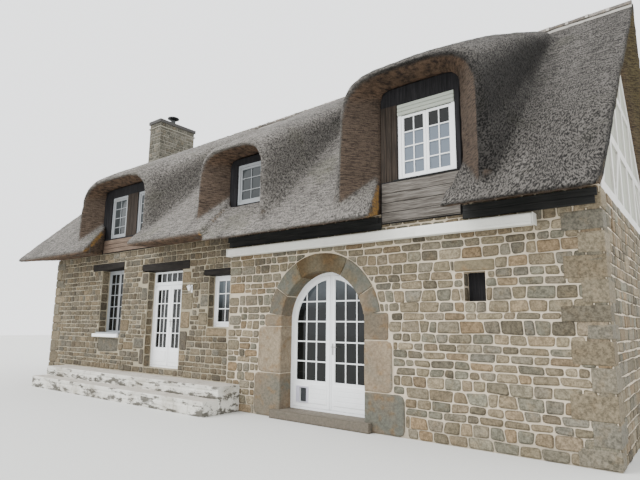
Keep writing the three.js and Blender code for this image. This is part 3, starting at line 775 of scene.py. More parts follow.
@dataclass(frozen=True)
class RoundGap:
    """A disc that stays clear of stones, in the wall's own plan."""
    across: float
    up: float
    radius: float

    def cut(self, bm: Mesh) -> None:
        """Trims each stone that reaches into the disc.

        Args:
            bm: The stones, still flat.
        """
        middle = Vector((self.across, self.up, 0))
        for face in list(bm.faces):
            away = face.calc_center_median() - middle
            reach = [(v.co - middle).length for v in face.verts]
            if min(reach) >= self.radius and away.length > self.radius:
                continue
            if max(reach) <= self.radius:
                bmesh.ops.delete(bm, geom=[face], context="FACES")
                continue
            out = away.normalized()
            bmesh.ops.bisect_plane(bm, geom=[face, *face.edges, *face.verts], clear_inner=True,
                                   plane_co=middle + out * self.radius, plane_no=out)


@dataclass
class Stonework:
    """Coursed rubble laid over one flat face of a wall."""
    name: str
    place: Matrix                      # from across, up and out to the house
    size: Span
    seed: int
    courses: Span = (0.115, 0.2)
    lengths: Span = (0.14, 0.38)
    joint: float = 0.018
    proud: Span = (0.003, 0.013)
    corner: float = 0.03
    jitter: float = 0.012
    tall: float = 0.1                  # share of stones that reach over two courses
    gaps: list = field(default_factory=list)
    large: list = field(default_factory=list)  # left, right, low, high and kind of its big stones
    roof: list = field(default_factory=list)   # pairs of a point and a normal: cut off above
    unlevel: float = 0.003             # how far a course's upper line may tilt
    lean: float = 0.16                 # how far an upright joint may lean
    straight: float = -0.9995          # cosine at a corner that lies in a straight side
    smallest: float = 0.024            # the least width of a stone inside its joints
    shortest: float = 0.03             # the least side of an outline
    narrow: float = 0.055              # width below which a stone's edge is rounded less
    rounds: tuple = ((0.009, 0.005), (0.013, 0.004))  # how far its edge comes in and rises

    def __post_init__(self) -> None:
        """Starts its mesh and its source of chance."""
        self.bm, self.rng = blank(), random.Random(self.seed)

    def lay(self, material: Material, slot: str = "rubble") -> None:
        """Lays the stones and turns them into a piece.

        Args:
            material: The stones' material.
            slot: The record's slot, handed on to to_piece.
        """
        self._courses()
        self._merge_some()
        self._part()
        for gap in self.gaps + [Gap(*reach) for *reach, _ in self.large]:
            gap.cut(self.bm)
        self._outlines()
        self._raise()
        bmesh.ops.transform(self.bm, matrix=self.place, verts=self.bm.verts)
        to_piece(self.bm, self.name, material, slot)

    def _courses(self) -> None:
        """Cuts the face to courses and the courses to stones."""
        bm, rng = self.bm, self.rng
        width, height = self.size
        made = bmesh.ops.create_grid(bm, x_segments=1, y_segments=1, size=0.5)["verts"]
        bmesh.ops.scale(bm, vec=(width, height, 1), verts=made)
        bmesh.ops.translate(bm, vec=(width / 2, height / 2, 0), verts=made)
        for point, normal in self.roof:
            bmesh.ops.bisect_plane(bm, geom=bm.verts[:] + bm.edges[:] + bm.faces[:],
                                   plane_co=point, plane_no=normal, clear_outer=True)
        up = rng.uniform(*self.courses)
        while up < height - self.courses[0] * 0.7:
            bmesh.ops.bisect_plane(bm, geom=bm.verts[:] + bm.edges[:] + bm.faces[:],
                                   plane_co=(width / 2, up, 0),
                                   plane_no=(rng.uniform(-self.unlevel, self.unlevel), 1, 0))
            up += rng.uniform(*self.courses)
        for course in list(bm.faces):
            self._stones(course)

    def _stones(self, course: Face) -> None:
        """Cuts one course to stones.

        Args:
            course: The course.
        """
        bm, rng = self.bm, self.rng
        xs, ys = [v.co.x for v in course.verts], [v.co.y for v in course.verts]
        least = (max(ys) - min(ys)) * 0.7
        across, high, rest = min(xs), max(xs), course
        while True:
            across += max(rng.uniform(*self.lengths), least)
            if across > high - self.lengths[0] * 0.8:
                return
            cut = bmesh.ops.bisect_plane(bm, geom=[rest, *rest.edges, *rest.verts],
                                         plane_co=(across, rest.calc_center_median().y, 0),
                                         plane_no=(1, rng.uniform(-self.lean, self.lean), 0))
            faces = [g for g in cut["geom"] if isinstance(g, Face)]
            rest = max(faces, key=lambda f: f.calc_center_median().x)

    def _merge_some(self) -> None:
        """Turns some pairs of stones, one over the other, into one tall stone."""
        bm, rng = self.bm, self.rng
        used: set = set()
        chosen = []
        for edge in bm.edges:
            if len(edge.link_faces) != 2 or rng.random() > self.tall:
                continue
            pair = tuple(edge.link_faces)
            if used.intersection(pair) or abs(edge.verts[0].co.y - edge.verts[1].co.y) > 0.02:
                continue
            wide = [max(v.co.x for v in f.verts) - min(v.co.x for v in f.verts) for f in pair]
            if edge.calc_length() > 0.85 * max(wide) and max(wide) < self.lengths[1]:
                chosen.append(edge)
                used.update(pair)
        bmesh.ops.dissolve_edges(bm, edges=chosen, use_verts=False)

    def _part(self) -> None:
        """Parts the stones, keeps only their own corners and puts these a little out of line."""
        bm = self.bm
        bmesh.ops.split_edges(bm, edges=bm.edges[:])
        needless = []
        for vert in bm.verts:
            first, second = (edge.other_vert(vert).co - vert.co for edge in vert.link_edges)
            if first.normalized().dot(second.normalized()) < self.straight:
                needless.append(vert)
        bmesh.ops.dissolve_verts(bm, verts=needless)
        width, height = self.size
        for vert in bm.verts:
            if 1e-4 < vert.co.x < width - 1e-4 and 1e-4 < vert.co.y < height - 1e-4:
                out_of_line = noise.noise_vector(vert.co * 23)
                vert.co.x += out_of_line.x * self.jitter * 2.6
                vert.co.y += out_of_line.y * self.jitter * 2.0

    def _outlines(self) -> None:
        """Draws each stone anew, half a joint inside its place and with rounded corners."""
        bm, rng = self.bm, self.rng
        drawn = []
        for face in bm.faces:
            if 2 * face.calc_area() < face.calc_perimeter() * (self.joint + self.smallest):
                continue
            face.normal_update()
            points = [v.co.copy() for v in face.verts]
            points = [p for i, p in enumerate(points)
                      if (p - points[i - 1]).length > self.shortest]
            if len(points) < 3:
                continue
            if face.normal.z < 0:
                points.reverse()
            drawn.append((rounded(drawn_in(points, self.joint / 2), self.corner, rng), None))
        for left, right, low, high, kind in self.large:
            points = [Vector((x, y, 0)) + Vector((rng.uniform(-0.006, 0.006), 0, 0))
                      for x, y in ((left, low), (right, low), (right, high), (left, high))]
            outline = rounded(drawn_in(points, self.joint / 2), self.corner * 1.5, rng)
            drawn.append((outline, kind))
        bmesh.ops.delete(bm, geom=bm.verts[:], context="VERTS")
        for points, kind in drawn:
            face = bm.faces.new([bm.verts.new(point) for point in points])
            tone_of(bm, face.verts, rng, kind)
        bm.normal_update()

    def _raise(self) -> None:
        """Thickens the outlines to stones with tilted, swelling faces."""
        bm, rng = self.bm, self.rng
        bmesh.ops.translate(bm, vec=(0, 0, -0.003), verts=bm.verts)
        tops = bmesh.ops.extrude_discrete_faces(bm, faces=bm.faces[:])["faces"]
        for face in tops:
            out = rng.uniform(*self.proud)
            lean = Vector((rng.uniform(-0.03, 0.03), rng.uniform(-0.04, 0.04), 0))
            middle = face.calc_center_median()
            for vert in face.verts:
                vert.co.z += out + (vert.co - middle).dot(lean)
        narrow = [f for f in tops if 2 * f.calc_area() < f.calc_perimeter() * self.narrow]
        wide = [f for f in tops if f not in set(narrow)]
        for faces, share in ((wide, 1.0), (narrow, 0.3)):
            for thickness, depth in self.rounds:
                bmesh.ops.inset_individual(bm, faces=faces, thickness=thickness * share,
                                           depth=depth * share)
        # tone.z is 1 on a stone's crown and 0 at its edges, where the finish paints shade
        layer = bm.verts.layers.float_vector["tone"]
        crowns = {vert for face in tops for vert in face.verts}
        for vert in bm.verts:
            vert[layer].z = 1.0 if vert in crowns else 0.0


def drawn_in(points: list[Vector], by: float) -> list[Vector]:
    """Moves each side of an outline inward.

    Args:
        points: The outline in x and y, counter-clockwise.
        by: How far.

    Returns:
        The smaller outline.
    """
    moved = []
    for index, here in enumerate(points):
        first = (here - points[index - 1]).normalized()
        second = (points[(index + 1) % len(points)] - here).normalized()
        inward = Vector((-first.y - second.y, first.x + second.x, 0)).normalized()
        share = max(inward.dot(Vector((-first.y, first.x, 0))), 0.5)
        moved.append(here + inward * by / share)
    return moved


def rounded(points: list[Vector], corner: float, rng: random.Random) -> list[Vector]:
    """Rounds the corners of an outline, each a little differently.

    Args:
        points: The outline.
        corner: How far from a corner its curve begins.
        rng: The seeded source of chance.

    Returns:
        The rounded outline.
    """
    outline = []
    for index, here in enumerate(points):
        before, after = points[index - 1] - here, points[(index + 1) % len(points)] - here
        if before.normalized().dot(after.normalized()) < -0.93:   # all but straight
            outline.append(here)
            continue
        reach = min(corner * rng.uniform(0.6, 1.5), before.length * 0.42, after.length * 0.42)
        start, end = here + before.normalized() * reach, here + after.normalized() * reach
        outline += [start, (start + end) / 4 + here / 2, end]
    return outline


def facing(corner: tuple[float, float, float], along: tuple[float, float, float]) -> Matrix:
    """Place of a wall's face, seen from outside.

    Args:
        corner: The face's lower left corner, seen from outside.
        along: Its direction to the right, seen from outside.

    Returns:
        The matrix from across, up and out to the house.
    """
    right, up = Vector(along), Vector((0, 0, 1))
    turn = Matrix((right, up, right.cross(up))).transposed().to_4x4()
    return Matrix.Translation(corner) @ turn


class Bond(Enum):
    """Ways of laying rubble, as the sizes that Stonework takes."""
    THIN = {"courses": (0.095, 0.16), "lengths": (0.13, 0.34), "joint": 0.019, "corner": 0.022,
            "jitter": 0.009, "tall": 0.05}
    THIN_GABLE = {**THIN, "courses": (0.11, 0.2), "lengths": (0.14, 0.42)}
    REVEAL = {"courses": (0.16, 0.3), "lengths": (0.3, 0.4), "joint": 0.022, "tall": 0.0,
              "proud": (0.001, 0.004)}
    STACK = {"courses": (0.09, 0.17), "lengths": (0.12, 0.34), "joint": 0.022, "corner": 0.014,
             "jitter": 0.01, "proud": (0.004, 0.009)}
    STEP = {"courses": (0.1, 0.17), "lengths": (0.2, 0.6), "joint": 0.02, "proud": (0.0, 0.006)}
    STEP_END = {**STEP, "lengths": (0.2, 0.4)}


def measured_from(start: float, boxes: tuple) -> list:
    """Measures rectangles from a wall's left end, as left, right and what follows."""
    return [(left - start, right - start, *rest) for left, right, *rest in boxes]


@dataclass
class Walls(Part):
    """Stones on all four sides, in the front's reveals and at the corners."""
    front_left_gaps: tuple = (         # left, right, low and high
        (-7.45, -6.40, 1.30, 3.03), (-5.308, -3.987, 0.65, 2.88), (-5.58, -3.74, 2.88, 3.08),
        (-7.93, -6.40, 3.03, 3.22), (-3.067, -2.40, 1.6, 2.68), (-3.24, -2.40, 2.68, 2.82),
        (-8.9, -2.4, 0.0, 0.5))
    front_right_gaps: tuple = (
        (-2.4, -2.394, 1.6, 2.68), (2.6, 2.92, 2.02, 2.45), (2.46, 3.06, 2.45, 2.625),
        (-1.37, 0.0, 0.0, 1.86), (-1.525, 0.0, 0.0, 1.635), (-1.61, 0.0, 0.0, 0.785),
        (0.0, 1.345, 0.0, 1.88), (0.0, 1.41, 0.0, 1.435), (0.0, 1.61, 0.0, 0.625))
    arch_gap: float = 1.24             # radius
    large_left: tuple = (              # left, right, low, high and kind
        (-7.38, -6.42, 0.93, 1.285, 0.8), (-5.76, -5.345, 1.06, 1.31, 0.8),
        (-6.2, -5.78, 1.02, 1.21, 0.6), (-5.57, -5.312, 2.6, 2.87, 0.4),
        (-5.56, -5.312, 2.2, 2.52, 0.8), (-5.5, -5.312, 1.5, 1.91, 0.2),
        (-5.5, -5.312, 0.7, 1.06, 0.4), (-6.395, -6.02, 1.46, 1.75, 0.6),
        (-3.983, -3.67, 2.56, 2.82, 0.6), (-3.983, -3.58, 1.96, 2.33, 0.2),
        (-3.983, -3.66, 1.56, 1.93, 0.6), (-3.983, -3.72, 1.08, 1.5, 0.4),
        (-3.36, -3.071, 1.63, 1.9, 0.2), (-3.33, -3.071, 2.02, 2.28, 0.8),
        (-3.1, -2.44, 1.4, 1.585, 0.6))
    large_right: tuple = (
        (-2.39, -1.95, 2.27, 2.48, 0.5), (-2.39, -2.1, 2.02, 2.2, 0.2),
        (-2.38, -2.04, 1.64, 1.84, 0.3), (-2.39, -2.06, 1.15, 1.36, 0.6),
        (-2.38, -2.1, 0.74, 0.93, 0.5))
    back_windows: tuple = ((-7.45, -6.40), (0.3, 1.35))
    openings: tuple = (                # left, right, low, high and depth of the frame's face
        (-7.45, -6.40, 1.38, 3.03, 0.21), (-5.308, -3.987, 0.65, 2.88, 0.178),
        (-3.067, -2.394, 1.60, 2.68, 0.17), (2.60, 2.92, 2.02, 2.45, 0.19))
    slope: tuple = ((0.2, 3.48), (1.0, 4.681), (3.3, 7.06))   # y and z of the thatch's underside
    quoin_tall: Span = (0.2, 0.34)
    quoin_reach: tuple = ((0.5, 0.28), (0.27, 0.46))          # along the front and into the house
    top: float = WALL_TOP - 0.005

    def build(self) -> None:
        """Lays the stones of every side."""
        left, right = self.paint["stone_left"], self.paint["stone_right"]
        gaps = [Gap(*box) for box in measured_from(WALL_LEFT, self.front_left_gaps)]
        Stonework("stones_front_left", facing((WALL_LEFT, 0, 0), (1, 0, 0)),
                  (STONE_CHANGE - WALL_LEFT, self.top), 11, gaps=gaps,
                  large=measured_from(WALL_LEFT, self.large_left), **Bond.THIN.value).lay(left)
        gaps = [Gap(*box) for box in measured_from(STONE_CHANGE, self.front_right_gaps)]
        gaps.append(RoundGap(ARCH_X - STONE_CHANGE, ARCH_SPRING, self.arch_gap))
        Stonework("stones_front_right", facing((STONE_CHANGE, 0, 0), (1, 0, 0)),
                  (WALL_RIGHT - STONE_CHANGE, self.top), 12, gaps=gaps,
                  large=measured_from(STONE_CHANGE, self.large_right)).lay(right)
        Stonework("stones_gable_right", facing((WALL_RIGHT, 0, 0), (0, 1, 0)),
                  (DEPTH, self.top), 13).lay(right)
        windows = [(WALL_RIGHT - b, WALL_RIGHT - a) for a, b in self.back_windows]
        gaps = [Gap(a, b, 1.38, 3.03) for a, b in windows]
        gaps += [Gap(a - 0.15, b + 0.15, 3.03, 3.22) for a, b in windows]
        Stonework("stones_back", facing((WALL_RIGHT, DEPTH, 0), (-1, 0, 0)),
                  (WALL_RIGHT - WALL_LEFT, self.top), 14, (0.12, 0.21), gaps=gaps).lay(left)
        self._left_gable()
        self._corners()
        self._reveals()

    def _reveals(self) -> None:
        """Lays the stones that show inside the openings of the front."""
        for index, (left, right, low, high, deep) in enumerate(self.openings):
            size, foot = (deep - 0.012, high - low - 0.01), low + 0.005
            for side, corner, along, seed in (
                    ("left", (left, 0.004, foot), (0, 1, 0), 201),
                    ("right", (right, deep - 0.008, foot), (0, -1, 0), 211)):
                Stonework(f"reveal_{side}_{index}", facing(corner, along), size, seed + index,
                          **Bond.REVEAL.value).lay(self.paint["stone_left"])

    def _left_gable(self) -> None:
        """Lays the left gable up to the thatch."""
        roof, middle = [], DEPTH / 2
        for sign in (1, -1):
            for low, high in zip(self.slope, self.slope[1:]):
                a, b = Vector(low), Vector(high)
                normal = Vector((-(b - a).y, (b - a).x)).normalized()
                point = (middle - sign * (middle - a.x), a.y - 0.03, 0)
                roof.append((point, (normal.x * sign, normal.y, 0)))
        Stonework("stones_gable_left", facing((WALL_LEFT, DEPTH, 0), (0, -1, 0)), (DEPTH, 7.0), 15,
                  roof=roof, **Bond.THIN_GABLE.value).lay(self.paint["stone_left"])

    def _corners(self) -> None:
        """Stacks long and short corner stones."""
        self.rng.seed(21)
        for x, y, inward, back in ((WALL_LEFT, 0, 1, 1), (WALL_RIGHT, 0, -1, 1),
                                   (WALL_LEFT, DEPTH, 1, -1), (WALL_RIGHT, DEPTH, -1, -1)):
            up, long_side = 0.0, True
            while up < WALL_TOP - 0.2:
                tall = min(self.rng.uniform(*self.quoin_tall), WALL_TOP - 0.01 - up)
                reach = self.quoin_reach[0 if long_side else 1]
                xs = sorted((x - inward * 0.02, x + inward * reach[0] * self.rng.uniform(0.9, 1.1)))
                ys = sorted((y - back * 0.02, y + back * reach[1] * self.rng.uniform(0.9, 1.1)))
                self.toned(tuple(xs), tuple(ys), (up + 0.012, up + tall - 0.012), 0.02, 3,
                           self.rng.uniform(0, 0.35))
                up += tall
                long_side = not long_side
        self.piece("corner_stones", "stone_right", "rubble")


@dataclass(frozen=True)
class Voussoir:
    """One stone of the arched door's surround, between two angles of the ring."""
    start: float
    end: float
    kind: float


@dataclass
class ArchSurround(Part):
    """Large granite stones round the arched door, and its sill."""
    outer: float = 1.232
    inner: float = 0.9135
    front: float = -0.022
    back: float = 0.284
    joint: float = 0.007
    ring: tuple = (Voussoir(62.1, 118.4, 0.08), Voussoir(118.4, 148.4, 0.3),
                   Voussoir(148.4, 172.1, 0.5), Voussoir(29.0, 62.1, 0.35),
                   Voussoir(8.3, 29.0, 0.6))
    legs: tuple = (                    # side, outer x, low, high, kind
        (-1, -1.36, 1.63, 1.86, 0.6), (-1, -1.515, 0.78, 1.63, 0.8), (-1, -1.6, 0.0, 0.78, 0.5),
        (1, 1.335, 1.43, 1.875, 0.6), (1, 1.4, 0.62, 1.43, 0.62), (1, 1.6, 0.0, 0.62, 0.45))
    sills: tuple = (                   # half the width, and the reach into the house
        (0.918, (-0.03, 0.284)), (1.064, (-0.129, -0.024)))

    def build(self) -> None:
        """Builds the surround and its sill."""
        self.rng.seed(31)
        for stone in self.ring:
            self._voussoir(stone)
        for side, outer, low, high, kind in self.legs:
            self._leg(side, outer, (low + self.joint, high - self.joint), kind)
        self._roughen()
        self.piece("arch_surround", "granite", "granite")
        for half, y in self.sills:
            self.toned((ARCH_X - half, ARCH_X + half), y, (0.004, ARCH_SILL + 0.004), 0.02, 2)
        self.piece("arch_sill_stone", "step_stone", "granite")

    def _leg(self, side: int, outer: float, z: Span, kind: float) -> None:
        """One stone below the ring: square towards the door, round at its outer corners.

        Args:
            side: -1 for the left of the door, 1 for the right.
            outer: Where it ends, away from the door.
            z: Its reach in height.
            kind: Its place in the finish's palette.
        """
        before = set(self.bm.verts)
        low, high = z
        curve = 0.09 if high - low > 0.5 else 0.04
        inner, near = ARCH_X + side * self.inner, outer - side * curve
        corner, cut = outer - side * curve * 0.3, curve * 0.3
        outline = [(inner, low), (near, low), (corner, low + cut), (outer, low + curve),
                   (outer, high - curve), (corner, high - cut), (near, high), (inner, high)]
        face = self.bm.faces.new([self.bm.verts.new((x, self.front, up)) for x, up in outline])
        deep = bmesh.ops.extrude_face_region(self.bm, geom=[face])["geom"]
        bmesh.ops.translate(self.bm, vec=(0, self.back - self.front, 0),
                            verts=[g for g in deep if isinstance(g, bmesh.types.BMVert)])
        faces = faces_round(added(self.bm, before))
        bmesh.ops.recalc_face_normals(self.bm, faces=faces)
        front = [e for e in {e for f in faces for e in f.edges}
                 if all(abs(v.co.y - self.front) < 1e-4 for v in e.verts)]
        soften(self.bm, front, 0.022, 2)
        tone_of(self.bm, added(self.bm, before), self.rng, kind)

    def _voussoir(self, stone: Voussoir) -> None:
        """Spins one stone of the ring.

        Args:
            stone: The stone.
        """
        gap = math.degrees(self.joint / self.outer)
        start, end = math.radians(stone.start + gap), math.radians(stone.end - gap)
        before = set(self.bm.verts)
        corners = [(self.inner, self.front), (self.outer, self.front),
                   (self.outer, self.back), (self.inner, self.back)]
        across, up = math.cos(start), math.sin(start)
        verts = [self.bm.verts.new((ARCH_X + r * across, y, ARCH_SPRING + r * up))
                 for r, y in corners]
        face = self.bm.faces.new(verts)
        bmesh.ops.spin(self.bm, geom=[*verts, *face.edges, face], cent=(ARCH_X, 0, ARCH_SPRING),
                       axis=(0, -1, 0), angle=end - start,
                       steps=max(4, int((end - start) / 0.09)), use_merge=False)
        faces = faces_round(added(self.bm, before))
        bmesh.ops.recalc_face_normals(self.bm, faces=faces)
        sharp = [e for e in {e for f in faces for e in f.edges}
                 if len(e.link_faces) == 2 and e.calc_face_angle(0) > 0.6]
        soften(self.bm, sharp, 0.014, 2)
        tone_of(self.bm, added(self.bm, before), self.rng, stone.kind)

    def _roughen(self) -> None:
        """Divides the faces and makes them a little uneven, in shape and in tone.
        """
        long_edges = [e for e in self.bm.edges if e.calc_length() > 0.12]
        bmesh.ops.subdivide_edges(self.bm, edges=long_edges, cuts=3, use_grid_fill=True)
        self.bm.normal_update()
        layer = self.bm.verts.layers.float_vector["tone"]
        for vert in self.bm.verts:
            vert.co += vert.normal * 0.005 * (noise.noise(vert.co * 5) + 0.4)
            vert[layer].x += 0.3 * noise.noise(vert.co * 3.1)


# Roof


THATCH = ("thatch_front_left", "thatch_front_middle", "thatch_front_right", "thatch_back")


def ridge_height(x: float) -> float:
    """Height of the ridge, for one place or many along the house."""
    return RIDGE_Z + RIDGE_RISE * (x + SHIFT.x)


@dataclass(frozen=True)
class Hood:
    """A dormer's thatched hood: edges and crown of its mouth, and the drop of its shoulders."""
    left: float
    right: float
    top: float
    shoulder: float
    full: float = 0.0                  # how far its crown line rises over a straight one

    @property
    def middle(self) -> float:
        """The middle of its mouth."""
        return (self.left + self.right) / 2


@dataclass(frozen=True)
class RoofForm:
    """The height of the thatch over any point of the plan."""
    hoods: tuple = (Hood(-7.85, -4.93, 5.30, 1.0), Hood(-2.88, -1.12, 5.18, 0.75),
                    Hood(0.78, 3.06, 5.69, 1.0, 0.1))
    eaves_y: float = -0.8
    eaves_left: float = 3.5
    eaves_right: float = 3.31
    rim_y: float = -0.5                # the mouths of the hoods
    front_y: float = -0.56             # the hoods' noses bend down from nose_y to here
    nose_y: float = -0.38
    near_ridge: float = 3.098
    thick: float = 0.12                # of the reed over a mouth's crown
    splay: float = 0.3                 # how much wider half a hood is at the ridge
    square: float = 3.8                # how square its shoulders are
    valley: float = 0.26               # how wide the soft valleys beside it are

    def slope(self, x: np.ndarray, y: np.ndarray, eaves: np.ndarray) -> np.ndarray:
        """Height of the plain slope."""
        share = (y - self.eaves_y) / (RIDGE_Y - self.eaves_y)
        return eaves + (ridge_height(x) - eaves) * share

    def hood(self, x: np.ndarray, y: np.ndarray, hood: Hood) -> np.ndarray:
        """Height of one hood.

        Args:
            x: Places along the house.
            y: Places into the house.
            hood: The hood.

        Returns:
            Its heights.
        """
        share = (y - self.rim_y) / (RIDGE_Y - self.rim_y)
        nose = np.clip((self.nose_y - y) / (self.nose_y - self.front_y), 0, 1) ** 2
        half = (hood.right - hood.left) / 2 + 0.11 * (1 - nose) + self.splay * share
        front = hood.top + self.thick
        ridge = ridge_height(x)
        line = front + (ridge + 0.06 - front) * share
        line = line + hood.full * np.sin(np.pi * np.maximum(share, 0))
        crown = np.minimum(line, ridge - 0.1) - 0.095 * nose
        shoulder = hood.shoulder * (1 - 0.65 * share)
        away = np.abs(x - hood.middle)
        t = np.minimum(away / half, 1)
        round_off = 1 - (1 - t ** self.square) ** (1 / self.square)
        return crown - (shoulder * round_off + 20 * np.maximum(away - half, 0))

    def top(self, x: np.ndarray, y: np.ndarray) -> np.ndarray:
        """Height of the thatch: the slope and the hoods, with soft valleys between.

        Args:
            x: Places along the house.
            y: Places into the house.

        Returns:
            The heights.
        """
        behind = y > RIDGE_Y
        eaves = np.where(behind | (x > SPLIT_X), self.eaves_right, self.eaves_left)
        y = np.where(behind, 2 * RIDGE_Y - y, y)
        height = self.slope(x, y, eaves)
        soft = self.valley * np.clip((self.near_ridge - y) / 1.4, 0, 1)
        here = ~behind & (y >= self.front_y) & (y < self.near_ridge)
        for hood in self.hoods:
            other = self.hood(x, y, hood)
            near = np.maximum(soft - np.abs(height - other), 0)
            joined = np.maximum(height, other) + near ** 2 / np.maximum(4 * soft, 1e-6)
            height = np.where(here, joined, height)
        return height


@dataclass
class Thatch(Part):
    """The thatch: the solids remeshed, settled on the roof's form and given the reed's lumps."""
    form: RoofForm = field(default_factory=RoofForm)
    voxel: float = 0.053
    joints: Span = (-3.95, -0.25)      # where one front length ends and the next begins
    fresh_edges: tuple = (             # from x, y to x, y and how deep: ends that were cut lately
        (1.2, 0.0, 1.52, -0.9, 0.4), (-7.45, 0.0, -6.95, -0.9, 0.13),
        (SPLIT_X, 0.6, SPLIT_X, -0.9, 0.13))
    settled: float = 0.16              # how far a vertex may lie from the form it is laid on
    probe: float = 0.02                # how far to either side the form's steepness is read
    rim: Span = (0.02, 0.05)           # depth of the weathered coat at the eaves and elsewhere
    lumps: tuple = ((0.012, 2.1), (0.009, 8.5))   # how high, and how many in a metre

    def build(self) -> None:
        """Builds the four lengths of thatch from one skin."""
        bm = self._skin()
        self._settle(bm)
        self._mark(bm)
        self._raise_lumps(bm)
        for index, node in enumerate(THATCH):
            part = bm.copy()
            other = [f for f in part.faces if self._length_of(f) != index]
            bmesh.ops.delete(part, geom=other, context="FACES")
            self.piece(node.replace("thatch", "reed"), "thatch", "thatch", part,
                       replaced=(node,), smooth=True, moved=False)
        bm.free()

    def _length_of(self, face: Face) -> int:
        """Tells which length of thatch a face belongs to."""
        middle = face.calc_center_median() - SHIFT
        return 3 if middle.y > RIDGE_Y else sum(middle.x > joint for joint in self.joints)

    def _skin(self) -> Mesh:
        """Joins copies of the thatch's solids into one even skin.

        Returns:
            The skin.
        """
        bm = blank()
        for name in THATCH:
            bm.from_mesh(frame["nodes"][name].data)
        bmesh.ops.remove_doubles(bm, verts=bm.verts, dist=1e-5)
        mesh = bpy.data.meshes.new("skin")
        bm.to_mesh(mesh)
        bm.free()
        holder = bpy.data.objects.new("skin", mesh)
        bpy.context.scene.collection.objects.link(holder)
        remesh = holder.modifiers.new("even", "REMESH")
        remesh.mode = "VOXEL"
        remesh.voxel_size = self.voxel
        graph = bpy.context.evaluated_depsgraph_get()
        even = bpy.data.meshes.new_from_object(holder.evaluated_get(graph))
        bpy.data.objects.remove(holder)
        bm = blank()
        bm.from_mesh(even)
        bpy.data.meshes.remove(even)
        return bm

    def _plan(self, bm: Mesh) -> tuple[np.ndarray, np.ndarray, np.ndarray]:
        """The vertices' places, from the arched door."""
        here = np.array([v.co for v in bm.verts]) - np.array(SHIFT)
        return here[:, 0], here[:, 1], here[:, 2]

    def _settle(self, bm: Mesh) -> None:
        """Lays the upper surface on the roof's smooth form and rounds the edges.

        Args:
            bm: The skin.
        """
        bm.normal_update()
        x, y, z = self._plan(bm)
        for vert, gap in zip(bm.verts, self.form.top(x, y) - z):
            if vert.normal.z > 0.35 and abs(gap) < self.settled:
                vert.co.z += gap
        for _ in range(2):
            bmesh.ops.smooth_vert(bm, verts=bm.verts, factor=0.5, use_axis_x=True,
                                  use_axis_y=True, use_axis_z=True)

    def _mark(self, bm: Mesh) -> None:
        """Marks the cut reed, its freshly cut ends and the coat's steep flanks for painted shade.

        Args:
            bm: The skin.
        """
        bm.normal_update()
        x, y, z = self._plan(bm)
        normal = np.array([v.normal for v in bm.verts])
        top, probe = self.form.top, self.probe
        across = (top(x + probe, y) - top(x - probe, y)) / (2 * probe)
        along = (top(x, y + probe) - top(x, y - probe)) / (2 * probe)
        deep = (top(x, y) - z) / np.sqrt(1 + across ** 2 + along ** 2)
        upward = np.clip((normal[:, 2] - 0.15) / 0.3, 0, 1)
        rim = np.where(y < -0.68, *self.rim)
        cut = np.clip((np.abs(deep) - rim) / 0.06, 0, 1) * (1 - upward)
        cut *= self._ends(x, y, z, normal)
        eaves = np.where(x > SPLIT_X, self.form.eaves_right, self.form.eaves_left)
        below = (self.form.slope(x, y, eaves) - z) / 1.4
        fresh = np.zeros_like(cut)
        for x0, y0, x1, y1, depth in self.fresh_edges:
            line = x0 + (x1 - x0) * (y - y0) / (y1 - y0)
            near = (np.abs(x - line) < 0.06) & (y < min(y0, -0.1)) & (z < 4.05) & (below < depth)
            fresh = np.where(near, 1.0, fresh)
        # steep flanks of the coat, where the finish paints shade
        flank_shade = np.clip((0.55 - normal[:, 2]) / 0.5, 0, 1)
        layer = bm.verts.layers.float_vector.new("reed")
        for vert, *marks in zip(bm.verts, cut, fresh * cut, flank_shade):
            vert[layer] = Vector(marks)

    def _ends(self, x: np.ndarray, y: np.ndarray, z: np.ndarray,
              normal: np.ndarray) -> np.ndarray:
        """Tells where cut reed can show: mouths, verges, eaves, the step and all undersides.

        Args:
            x: The vertices' places along the house.
            y: Their places into the house.
            z: Their heights.
            normal: Their normals.

        Returns:
            1 where it can show, else 0.
        """
        shown = (normal[:, 2] < -0.25) | ((normal[:, 1] < -0.5) & (y < -0.45) & (z < 3.75))
        shown |= (x < WALL_LEFT - 0.6) | (x > WALL_RIGHT + 0.2) | (np.abs(x - SPLIT_X) < 0.1)
        for hood in self.form.hoods:
            inward = normal[:, 0] * np.sign(hood.middle - x) > -0.3
            shown |= (x > hood.left - 0.03) & (x < hood.right + 0.03) & (y < 0.1) & inward
        return shown.astype(float)

    def _raise_lumps(self, bm: Mesh) -> None:
        """Gives the skin its lumps.

        Args:
            bm: The skin.
        """
        bm.normal_update()
        for vert in bm.verts:
            lump = sum(high * noise.noise(vert.co * often) for high, often in self.lumps)
            vert.co = vert.co + vert.normal * (lump - 0.004)


